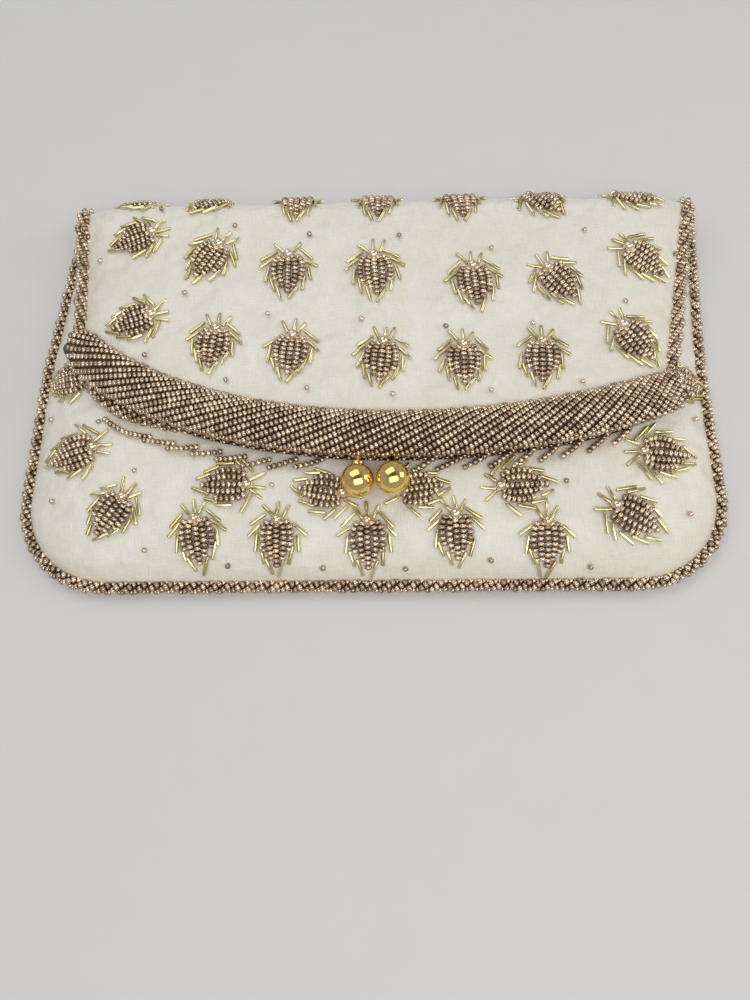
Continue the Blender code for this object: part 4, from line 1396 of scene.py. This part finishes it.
@dataclass
class Wrinkles:
    """Wrinkles of satin that is sewn down at each sprig, from a cloth simulation and hand puckers."""

    sprigs: list
    seed: int
    growth: float = 0.014
    highest: float = 0.75 * MM
    lowest: float = 0.22 * MM
    pinned_reach: float = 8.5 * MM
    frames: int = 14
    grow_by: float = 10.0  # the trial cloth is this much larger, for the solver's sake
    first_waves: float = 0.35 * MM
    fine_waves: float = 0.14 * MM
    pucker_height: float = 0.15 * MM
    pucker_reach: float = 10.5  # millimetres from a sprig's middle

    def pin(self, x: float, y: float) -> float:
        """Return how firmly the cloth is held at a flat place, from 0 to 1."""
        nearest = min(math.hypot(x - s.x * MM, y - s.y * MM) for s in self.sprigs)
        return clamp((self.pinned_reach + 2 * MM - nearest) / (2 * MM))

    def simulate(self, lay: Callable, columns: int, rows: int) -> list[list[float]]:
        """Let a coarse copy of the panel grow a little between its pins.

        Args:
            lay: how the panel lies.
            columns: of the coarse grid.
            rows: of the coarse grid.

        Returns:
            The wrinkle height for each grid row and column.
        """
        places, flats = lay_out(lay, columns, rows)
        mesh = grid_mesh("cloth_trial", [place * self.grow_by for place in places], columns, rows)
        mesh.update()
        rest = [v.co.copy() for v in mesh.vertices]
        normals = [v.normal.copy() for v in mesh.vertices]
        shift = Vector((self.seed * 3.7, 1.3, 0))
        for vertex, normal in zip(mesh.vertices, normals):
            vertex.co += normal * (self.first_waves * self.grow_by * noise.noise(vertex.co * 9 + shift))
        item = new_object("cloth_trial", mesh)
        held = item.vertex_groups.new(name="held")
        for number, flat in enumerate(flats):
            rim = from_rim(number, columns, rows) == 0
            held.add([number], 1.0 if rim else self.pin(*flat), "REPLACE")
        cloth = item.modifiers.new("Cloth", "CLOTH")
        settings = cloth.settings
        settings.quality = 5
        settings.mass = 0.2
        settings.tension_stiffness = settings.compression_stiffness = 12
        settings.shear_stiffness = 4
        settings.bending_stiffness = 0.35
        settings.vertex_group_mass = "held"
        settings.shrink_min = settings.shrink_max = -self.growth
        settings.effector_weights.gravity = 0
        cloth.collision_settings.use_collision = False
        scene = bpy.context.scene
        for number in range(1, self.frames + 1):
            scene.frame_set(number)
        graph = bpy.context.evaluated_depsgraph_get()
        settled = item.evaluated_get(graph).data
        heights = [(v.co - r).dot(n) / self.grow_by for v, r, n in zip(settled.vertices, rest, normals)]
        scene.frame_set(1)
        bpy.data.objects.remove(item, do_unlink=True)
        wide = columns + 1
        return [heights[j * wide : (j + 1) * wide] for j in range(rows + 1)]

    def shape(self, lay: Callable, columns: int, rows: int) -> Callable[[list], list]:
        """Return the relief for a panel of that many columns and rows.

        Args:
            lay: how the panel lies.
            columns: of its grid.
            rows: of its grid.

        Returns:
            A function from the grid's flat places to their heights.
        """
        coarse = None
        coarse = self.simulate(lay, columns // 2, rows // 2)

        def relief(flats: list) -> list:
            """Return the height at each grid place."""
            heights = []
            for number, (x, y) in enumerate(flats):
                j, i = divmod(number, columns + 1)
                height = 0.0
                if coarse is not None:
                    a, b = min(i // 2, columns // 2 - 1), min(j // 2, rows // 2 - 1)
                    s, t = i / 2 - a, j / 2 - b
                    low = mix(coarse[b][a], coarse[b][a + 1], s)
                    height = mix(low, mix(coarse[b + 1][a], coarse[b + 1][a + 1], s), t)
                    limit = self.highest if height > 0 else self.lowest
                    height = limit * math.tanh(height / limit)
                heights.append((height + self.pucker(x, y)) * clamp(from_rim(number, columns, rows) / 3))
            return heights

        return relief

    def pucker(self, x: float, y: float) -> float:
        """Return the small puckers that radiate from each sprig's stitches.

        Args:
            x: flat place across.
            y: flat place along.

        Returns:
            The height of the puckers.
        """
        total = self.fine_waves * noise.noise(Vector((x, y, self.seed * 0.01)) * 90)
        for number, spot in enumerate(self.sprigs):
            dx, dy = x - spot.x * MM, y - spot.y * MM
            away = math.hypot(dx, dy) / MM
            if 6 < away < 17:
                angle = math.atan2(dy, dx)
                waves = math.sin(7 * angle + number * 1.9) + 0.6 * math.sin(11 * angle + number)
                total += self.pucker_height * waves * math.exp(-(((away - self.pucker_reach) / 3.2) ** 2))
        return total


# ------------------------------------------------------------------ sub-assemblies
@dataclass
class Flap:
    """The flap's satin, interlining and lining."""

    columns: int = 216
    rows: int = 168

    def build(self) -> None:
        """Make the flap's cloth."""
        spots = [spot for row_spots in FLAP_SPRIGS.values() for spot in row_spots]
        lay = flap_grid(0, 0, 5.2 * MM, 4.2 * MM)
        satin = Panel("flap_satin", self.columns, self.rows, lay, 0.6 * MM, Finish.SATIN)
        relief = Wrinkles(spots, 1).shape(lay, self.columns, self.rows)
        satin.sew_in(["flap_panel", "flap_lip_panel"], bend, relief)
        lay = flap_grid(1.4 * MM, 11 * MM, 14 * MM, -8 * MM)
        canvas = Panel("flap_interlining_cloth", 80, 50, lay, 0.6 * MM, Finish.CANVAS)
        canvas.sew_in(["flap_interlining"], bend)
        lay = flap_grid(2.7 * MM, 3.4 * MM, 6 * MM, -9 * MM)
        lining = Panel("flap_lining_cloth", 120, 80, lay, 0.5 * MM, Finish.LINING)
        lining.sew_in(["flap_lining", "flap_lip_lining"], bend)


@dataclass
class Front:
    """The front panel's satin, interlining and lining."""

    columns: int = 300
    rows: int = 72

    def build(self) -> None:
        """Make the front's cloth."""
        spots = [spot for row_spots in FRONT_SPRIGS.values() for spot in row_spots]
        gap = BAG.mouth_gap
        lay = front_grid(0, 0, gap - 0.5 * MM)
        satin = Panel("front_satin", self.columns, self.rows, lay, 0.6 * MM, Finish.SATIN)
        relief = Wrinkles(spots, 2).shape(lay, self.columns, self.rows)
        satin.sew_in(["front_panel"], stay, relief)
        lay = front_grid(1.35 * MM, 9 * MM, gap + 1.5 * MM)
        canvas = Panel("front_interlining_cloth", 120, 24, lay, 0.6 * MM, Finish.CANVAS)
        canvas.sew_in(["front_interlining"], stay)
        lay = front_grid(2.6 * MM, 8 * MM, gap)
        lining = Panel("front_lining_cloth", 120, 24, lay, 0.5 * MM, Finish.LINING)
        lining.sew_in(["front_lining"], stay)


@dataclass
class Back:
    """The back's satin, interlining and lining."""

    puckering: float = 0.8

    def build(self) -> None:
        """Make the back's cloth."""
        spots = [spot for row_spots in BACK_SPRIGS.values() for spot in row_spots]
        wrinkles = Wrinkles(spots, 3)
        satin = Panel("back_satin", 180, 104, back_grid(None, 0), 0.5 * MM, Finish.SATIN, outward=-1.0)
        satin.sew_in(
            ["back_panel"], stay,
            lambda flats: [self.puckering * wrinkles.pucker(x, y) for x, y in flats],
        )  # fmt: skip
        canvas = Panel("back_interlining_cloth", 90, 60, back_grid(3.0 * MM, 5 * MM), 0.6 * MM, Finish.CANVAS)
        canvas.sew_in(["back_interlining"], stay)
        lining = Panel("back_lining_cloth", 90, 60, back_grid(3.9 * MM, 6 * MM), 0.5 * MM, Finish.LINING)
        lining.sew_in(["back_lining"], stay)


CORE_SIDES = 20


def core_tube(
    name: str, winding: Winding, share_of_ring: float, steps: int = 160, ends: float = 0.004
) -> bpy.types.Object:
    """Return the padded cloth core inside a winding, closed at both ends; its near-black finish is painted
    shade that darkens the gaps between the beads.

    Args:
        name: the piece's name.
        winding: the strands that it lies in.
        share_of_ring: its size against the ring of bead middles.
        steps: rings along it.
        ends: share of the path left bare at each end.

    Returns:
        The core's object.
    """
    shape = bmesh.new()
    rings = []
    turns = [2 * math.pi * i / CORE_SIDES for i in range(CORE_SIDES)]
    for k in range(steps + 1):
        share = mix(ends, 1 - ends, k / steps)
        middle, across, up = winding.centre(share)
        size = winding.taper(share) * share_of_ring
        wide, high = winding.half_width * size, winding.half_height * size
        spots = [middle + across * (wide * math.cos(turn)) + up * (high * math.sin(turn)) for turn in turns]
        rings.append([shape.verts.new(spot) for spot in spots])
    for low, high in zip(rings, rings[1:]):
        for i in range(CORE_SIDES):
            j = (i + 1) % CORE_SIDES
            shape.faces.new((low[i], low[j], high[j], high[i]))
    shape.faces.new(rings[0][::-1])
    shape.faces.new(rings[-1])
    bmesh.ops.recalc_face_normals(shape, faces=shape.faces)
    mesh = bpy.data.meshes.new(name)
    shape.to_mesh(mesh)
    shape.free()
    mesh.uv_layers.new(name="cloth")
    mesh.materials.append(Finish.CORE.material())
    mesh.shade_smooth()
    return new_object(name, mesh)


def rounded_off(share: float, power: float) -> float:
    """Return a size that is full along a path and rounded off at both its ends."""
    return max(1 - abs(2 * share - 1) ** power, 0) ** 0.5


@dataclass
class Mouth:
    """The two bead rolls over the frame's arms, and the picots below them."""

    roll_half_width: float = 7.2 * MM
    roll_half_height: float = 2.95 * MM
    inner_radius: float = 1.75 * MM
    picot_spacing: float = 7.6 * MM
    picot_length: float = 9.2 * MM
    arm_length: float = 215 * MM
    outer_reach: tuple[float, float] = (-0.03, 1.03)  # shares of the arm that the rolls cover
    inner_reach: tuple[float, float] = (0.06, 0.9)
    end_lift: float = 0.9 * MM
    end_slimness: float = 0.88
    widest: float = 100.6 * MM
    loose_by: float = 4.6 * MM  # how far the inner roll's left end hangs off its arm
    loose_until: float = 0.26
    loose_over: float = 0.12
    loose_height: float = 2.3 * MM
    picot_sag: float = 0.5 * MM
    picot_arch: float = 0.7 * MM

    def outer_taper(self, share: float) -> float:
        """Return the outer roll's size, slimmer towards its ends."""
        return rounded_off(share, 60) * mix(self.end_slimness, 1, min(1, 7 * min(share, 1 - share)))

    def arm_centre(self, inner: bool, first: float, last: float) -> Path:
        """Return the middle, across and up of an arm's roll at a share of its path.

        Args:
            inner: whether it is the inner arm.
            first: share of the arm where the roll starts.
            last: share where it ends.

        Returns:
            The path.
        """

        def centre(share: float) -> tuple[Vector, Vector, Vector]:
            """Return the roll's middle and its two ways."""
            along = mix(first, last, share)
            sideways = BAG.bow(clamp(along))[1]
            beyond = (along - clamp(along)) * self.arm_length
            place = BAG.arm_place(along, inner=inner) + Vector((sideways.y, -sideways.x, 0)) * beyond
            if not inner:
                place.z += self.end_lift * abs(2 * share - 1) ** 16
            else:
                loose = clamp((self.loose_until - along) / self.loose_over)
                place -= sideways.to_3d() * (self.loose_by * loose)
                place.z = mix(place.z, BAG.front_height(place.x, place.y) + self.loose_height, loose)
            return place, sideways.to_3d(), Vector((0, 0, 1))

        return centre

    def build(self) -> None:
        """Make the rolls and the picots."""
        outer = Winding(
            self.arm_centre(False, *self.outer_reach), self.roll_half_width, self.roll_half_height,
            self.arm_length * 1.06, math.radians(29), 4.35 * MM, self.outer_taper, widest=self.widest,
        )  # fmt: skip
        core = core_tube("outer_roll_core", outer, 0.86, ends=0.009)
        ride(core, "flap_arm", "bronze_beads")
        ride(outer.wind("outer_roll_beads", -0.32, 1.1, 11), "flap_arm", "bronze_beads", "outer_bead_roll")
        ride(outer.wind("outer_roll_under_beads", 1.1, 1.68, 12), "flap_arm", "bronze_beads")
        inner = Winding(
            self.arm_centre(True, *self.inner_reach), self.inner_radius, self.inner_radius,
            self.arm_length * 0.87, math.radians(38), 3.4 * MM, lambda share: rounded_off(share, 14),
        )  # fmt: skip
        core = core_tube("inner_roll_core", inner, 0.66)
        ride(core, "pouch", "bronze_beads")
        ride(inner.wind("inner_roll_beads", -0.1, 1.9, 13), "pouch", "bronze_beads", "inner_bead_roll")
        self.picots("mouth_picots_left", 0.142, BAG.share_at(-13.5 * MM), 21)
        self.picots("mouth_picots_right", BAG.share_at(17.5 * MM), 0.9, 22)

    @staticmethod
    def picots_away(share: float) -> float:
        """Return how far below the inner arm the picots lie: further off towards its left end."""
        if share >= 0.5:
            return 4.2 * MM
        left = mix(9.8 * MM, 7.5 * MM, clamp((share - 0.14) / 0.16))
        return mix(left, 5.2 * MM, clamp((share - 0.36) / 0.08))

    def picots(self, node: str, first: float, last: float, seed: int) -> None:
        """Make one line of picots.

        Args:
            node: the frame's node that they stand for.
            first: share of the inner arm where the line starts.
            last: share where it ends.
            seed: for the small irregularities.
        """
        draw = random.Random(seed)
        work = Threadwork(node + "_beads", pitch=SEWN_PITCH, seed=seed)
        shares = [mix(first, last, i / 60) for i in range(61)]
        line = [BAG.arm_place(share, -self.picots_away(share), inner=True) for share in shares]
        walked, spots = 0.0, [line[0]]
        for a, b in zip(line, line[1:]):
            walked += (b.xy - a.xy).length
            if walked >= self.picot_spacing:
                spots.append(b)
                walked = 0.0
        for spot in spots:
            rise = math.radians(mix(-30, 44, clamp((spot.x / MM + 82) / 162) ** 0.45) + draw.uniform(-4, 4))
            way = Vector((math.cos(rise), math.sin(rise)))
            side = Vector((-way.y, way.x))
            length = self.picot_length * draw.uniform(0.93, 1.06)
            path = []
            for i in range(9):
                t = i / 8
                flat = spot.xy + way * (length * (t - 0.5)) - side * (self.picot_sag * math.sin(math.pi * t))
                lift = BEADS.seed_radius + self.picot_arch * math.sin(math.pi * t) ** 0.7
                path.append(BAG.front_place(flat.x, flat.y, lift))
            work.thread(path)
        ride(work.make(), "pouch", "bronze_beads", node)


def paced(centre: Path, count: int = 400) -> tuple[Path, float]:
    """Return the same path with an even pace, and its length.

    Args:
        centre: the path.
        count: stretches to measure it by.

    Returns:
        The path and its length.
    """
    spots = [centre(i / count)[0] for i in range(count + 1)]
    walked = [0.0]
    for a, b in zip(spots, spots[1:]):
        walked.append(walked[-1] + (b - a).length)

    def even(share: float) -> tuple[Vector, Vector, Vector]:
        """Return the path at a share of its length."""
        target = clamp(share) * walked[-1]
        low, high = 0, count
        while high - low > 1:
            middle = (low + high) // 2
            low, high = (middle, high) if walked[middle] <= target else (low, middle)
        part = (target - walked[low]) / max(walked[high] - walked[low], 1e-9)
        return centre((low + part) / count)

    return even, walked[-1]


@dataclass
class Edging:
    """The rope-like beaded edging round the body and the flap's sides."""

    body_radius: float = 1.2 * MM
    body_z: float = 2.5 * MM
    body_outward: float = 1.2 * MM
    flap_radius: float = 1.0 * MM
    flap_half_width: float = 1.75 * MM
    flap_outward: float = 0.9 * MM
    fold_wrap: float = math.radians(122)
    fold_side: float = 106 * MM  # where along X the fold's turn is taken for the flap's edgings

    def on_seam(self, share: float) -> tuple[Vector, Vector, Vector]:
        """Return the body edging's middle and its two ways."""
        here = BAG.seam_point(share, -self.body_outward)
        before, after = BAG.seam_point(max(share - 0.004, 0)), BAG.seam_point(min(share + 0.004, 1))
        along = (after - before).normalized()
        return Vector((here.x, here.y, self.body_z)), Vector((-along.y, along.x, 0)), Vector((0, 0, 1))

    def on_side(self, side: int) -> Path:
        """Return how a side's flap edging runs, from the hinge round the fold.

        Args:
            side: -1 on the left and 1 on the right.

        Returns:
            The path.
        """
        start = (BAG.hinge_left if side < 0 else BAG.hinge_right)[1] + 1 * MM
        radius, turn_y = BAG.fold_turn(side * self.fold_side + BAG.lean(BAG.fold_y))
        last = turn_y + radius * self.fold_wrap

        def spot(y: float) -> Vector:
            """Return the middle at y."""
            x = side * (BAG.flap_half(min(y, BAG.fold_y), side) + self.flap_outward)
            return BAG.flap_place(x, y, 0.1 * MM)

        def centre(share: float) -> tuple[Vector, Vector, Vector]:
            """Return the edging's middle and its two ways."""
            y = mix(start, last, share)
            here, ahead = spot(y), spot(y + 0.5 * MM)
            along = (ahead - here).normalized()
            across = Vector((side, 0, 0)) - along * (side * along.x)
            across.normalize()
            return here, across, across.cross(along) * side

        return centre

    def build(self) -> None:
        """Make the edgings."""
        path, length = paced(self.on_seam)
        body = Winding(
            path, self.body_radius, self.body_radius, length,
            math.radians(31), 3.9 * MM, lambda share: 1.0, bulge=0.22, wander=0.2 * MM,
        )  # fmt: skip
        ride(body.wind("body_edging_beads", -0.55, 1.05, 31), "pouch", "bronze_beads", "body_edge_trim")
        ride(core_tube("body_edging_core", body, 0.5, 240), "pouch", "bronze_beads")
        for side, name in ((-1, "left"), (1, "right")):
            path, length = paced(self.on_side(side), 120)
            trim = Winding(
                path, self.flap_half_width, self.flap_radius, length,
                math.radians(21), 6.0 * MM, lambda share: 1.0, bulge=0.1, wander=0.25 * MM,
            )  # fmt: skip
            beads = trim.wind(f"flap_edging_{name}_beads", -0.3, 1.3, 40 + side)
            ride(beads, "pouch", "bronze_beads", f"flap_trim_{name}")


@dataclass
class Clasp:
    """The two polished balls with their stems and collars."""

    radius: float = 5.3 * MM
    stem: float = 0.9 * MM
    middle_x: float = 2 * MM
    gap: float = 0.3 * MM
    groove: float = 0.035 * MM
    steps: int = 40

    def ball(self, name: str, middle: Vector, foot: Vector) -> bpy.types.Object:
        """Return a ball with a seam, a collar and a stem that reaches its foot.

        Args:
            name: the piece's name.
            middle: the ball's middle.
            foot: where the stem ends.

        Returns:
            The ball as one object.
        """
        out = self.radius
        reach = (foot - middle).length
        profile = [(0.0, -out)]
        for i in range(1, self.steps):
            angle = math.pi * i / self.steps
            size = out - (self.groove if i == self.steps // 2 else 0.0)
            radius, height = size * math.sin(angle), -size * math.cos(angle)
            if height < out * 0.93:
                profile.append((radius, height))
        profile += [
            (1.9 * MM, out * 0.955), (2.15 * MM, out * 1.03), (2.0 * MM, out * 1.14),
            (self.stem * 1.3, out * 1.22), (self.stem, out * 1.3), (self.stem, reach - 0.3 * MM),
            (self.stem * 0.8, reach), (0.0, reach),
        ]  # fmt: skip
        mesh = Lathe(name, tuple(profile), 56).make()
        turn = Vector((0, 0, 1)).rotation_difference(foot - middle).to_matrix().to_4x4()
        turn.translation = middle
        mesh.transform(turn)
        mesh.materials.append(Finish.GILT.material())
        return new_object(name, mesh)

    def build(self) -> None:
        """Make both balls where the frame has them."""
        for body, node in (("flap_arm", "clasp_ball_outer"), ("pouch", "clasp_ball_inner")):
            low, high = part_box(node)
            side = -1 if body == "flap_arm" else 1
            x = self.middle_x + side * (self.radius + self.gap / 2)
            middle = Vector((x, low.y + self.radius, high.z - self.radius))
            foot = Vector((x, high.y, BAG.outer_arm_z if side < 0 else low.z + 1.4 * MM))
            item = self.ball(node + "_polished", middle, foot)
            ride(item, body, "gilt_metal", node)


FLAP_SCATTER = (
    (-96, 45), (-75, 64), (-48, 56), (-21, 52), (11, 51), (42, 45), (75, 52), (108, 46), (-63, 28), (-34, 19),
    (-3, 17), (26, 14), (55, 14), (86, 23), (-75, 5), (-47, -6), (-20, -9), (8, -12), (39, -11), (69, -8),
)  # fmt: skip
FRONT_SCATTER = (
    (-104, 12), (-107, -14), (-89, -18), (-75, -35), (-102, -45), (-71, -61), (-31, -41), (-44, -66),
    (-15, -66), (11, -67), (38, -65), (68, -67), (100, -51), (62, -40), (107, -17), (66, -28),
)  # fmt: skip


@dataclass
class Scatter:
    """Single seed beads sewn between the sprigs."""

    def build(self) -> None:
        """Make the scattered beads of the flap, the front and the back."""
        draw = random.Random(5)
        flap = Threadwork("flap_scatter_beads", seed=51)
        for x, y in FLAP_SCATTER:
            self.drop(flap, x * MM, y * MM, BAG.flap_place, draw)
        item = flap.make()
        bend(item)
        front = Threadwork("front_scatter_beads", seed=52)
        for x, y in FRONT_SCATTER:
            self.drop(front, x * MM, y * MM, BAG.front_place, draw)
        ride(front.make(), "pouch", "bronze_beads")
        back = Threadwork("back_scatter_beads", seed=53)
        rows = list(BACK_SPRIGS.values())
        for upper, lower in zip(rows, rows[1:]):
            for k in range(len(upper) - 1):
                four = (*upper[k : k + 2], *lower[k : k + 2])
                x, y = (sum(s.x for s in four) / 4 * MM, sum(s.y for s in four) / 4 * MM)
                self.drop(back, x, y, BAG.back_place, draw)
        ride(back.make(), "pouch", "bronze_beads")

    def drop(self, work: Threadwork, x: float, y: float, place: Place, draw: random.Random) -> None:
        """Sew one bead near a place, lying on its side.

        Args:
            work: the beadwork that it joins.
            x: place across.
            y: place along.
            place: gives the place on the cloth.
            draw: for the small irregularities.
        """
        x, y = (value + draw.uniform(-0.5, 0.5) * MM for value in (x, y))
        turn = draw.uniform(0, math.pi)
        way = Vector((math.cos(turn), math.sin(turn), draw.uniform(0.1, 0.9)))
        lift = BEADS.seed_radius * 0.85
        work.single(Bead.SEED, place(x, y, lift), way, (0.92, 0.92, 0.95))


@dataclass
class Hardware:
    """The frame's own arms and rivets, which keep their shapes and get their finish."""

    def build(self) -> None:
        """Dress every frame node that still shows."""
        for name in ("frame_outer_arm", "frame_inner_arm", "hinge_rivet_left", "hinge_rivet_right"):
            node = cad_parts[name]
            node.data.materials.clear()
            node.data.materials.append(Finish.STEEL.material())
            log.info("dressed %s", name)


@dataclass
class Studio:
    """Pale floor, soft lights and the camera."""

    camera_place: tuple = (7.7 * MM, -130.2 * MM, 241.9 * MM)
    camera_turn: tuple = (20.19, 1.5, -0.06)
    lens: float = 28.0
    sensor: float = 36.0
    floor_half: float = 3.0

    def light(self, name: str, place: tuple, size: tuple, power: float, colour: tuple) -> None:
        """Hang one soft rectangular light that looks at the bag.

        Args:
            name: the light's name.
            place: where it hangs.
            size: its width and depth.
            power: in watts.
            colour: of its light.
        """
        data = bpy.data.lights.new(name, "AREA")
        data.shape = "RECTANGLE"
        data.size, data.size_y = size
        data.energy = power
        data.color = colour
        lamp = new_object(name, data)
        lamp.location = place
        lamp.rotation_euler = (-Vector(place)).to_track_quat("-Z", "Y").to_euler()

    def sky(self) -> bpy.types.World:
        """Return the room's soft light, weaker from overhead."""
        world = bpy.data.worlds.new("studio")
        world.use_nodes = True
        nodes, links = world.node_tree.nodes, world.node_tree.links
        background = nodes["Background"]
        background.inputs["Color"].default_value = (0.84, 0.85, 0.87, 1)
        height = nodes.new("ShaderNodeSeparateXYZ")
        links.new(nodes.new("ShaderNodeTexCoord").outputs["Generated"], height.inputs[0])
        strength = nodes.new("ShaderNodeMapRange")
        links.new(height.outputs["Z"], strength.inputs["Value"])
        for name, value in (("From Min", 0.70), ("From Max", 0.97), ("To Min", 0.44), ("To Max", 0.14)):
            strength.inputs[name].default_value = value
        links.new(strength.outputs[0], background.inputs["Strength"])
        return world

    def build(self) -> None:
        """Set the floor, the lights and the camera."""
        half = self.floor_half
        mesh = bpy.data.meshes.new("floor")
        rim = [(-half, -half, 0), (half, -half, 0), (half, half, 0), (-half, half, 0)]
        mesh.from_pydata(rim, [], [(0, 1, 2, 3)])
        mesh.materials.append(Finish.FLOOR.material())
        new_object("floor", mesh)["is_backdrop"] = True
        self.light("window", (-0.25, 0.42, 0.75), (0.85, 0.62), 2.15, (0.96, 0.98, 1.0))
        self.light("ceiling", (0.12, -0.50, 0.85), (1.05, 0.62), 4.9, (1.0, 0.985, 0.955))
        self.light("fill", (0.75, 0.10, 0.40), (0.4, 0.4), 1.1, (1.0, 0.97, 0.93))
        bpy.context.scene.world = self.sky()
        bpy.context.scene.view_settings.view_transform = "Standard"
        data = bpy.data.cameras.new("camera")
        data.lens, data.sensor_width = self.lens, self.sensor
        data.clip_start = 0.01
        camera = new_object("camera", data)
        camera.location = self.camera_place
        camera.rotation_euler = [math.radians(a) for a in self.camera_turn]
        bpy.context.scene.camera = camera


def corners(box: Iterable[Vector]) -> list[list[float]]:
    """Return a box's two corners as plain lists."""
    return [list(corner) for corner in box]


def main() -> None:
    """Build the bag's looks in order."""
    logging.basicConfig(level=logging.INFO, format="%(name)s: %(message)s")
    Studio().build()
    BEADS.open()
    for part in (Flap(), Front(), Back(), Mouth(), Edging(), Clasp(), Scatter(), Hardware()):
        part.build()
        log.info("%s is done", type(part).__name__)
    Sprigs(BAG.flap_place, {name: FLAP_SPRIGS[name] for name in ("fold", "upper")}, stay, 100).build()
    Sprigs(BAG.flap_place, {"lower": FLAP_SPRIGS["lower"]}, bend, 200).build()
    Sprigs(BAG.front_place, FRONT_SPRIGS, stay, 300).build()
    Sprigs(BAG.back_place, BACK_SPRIGS, stay, 400, sink=1.0 * MM).build()
    BEADS.close()
    {"frame": corners(frame_box), "looks": corners(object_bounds())}


if __name__ == "__main__":
    main()
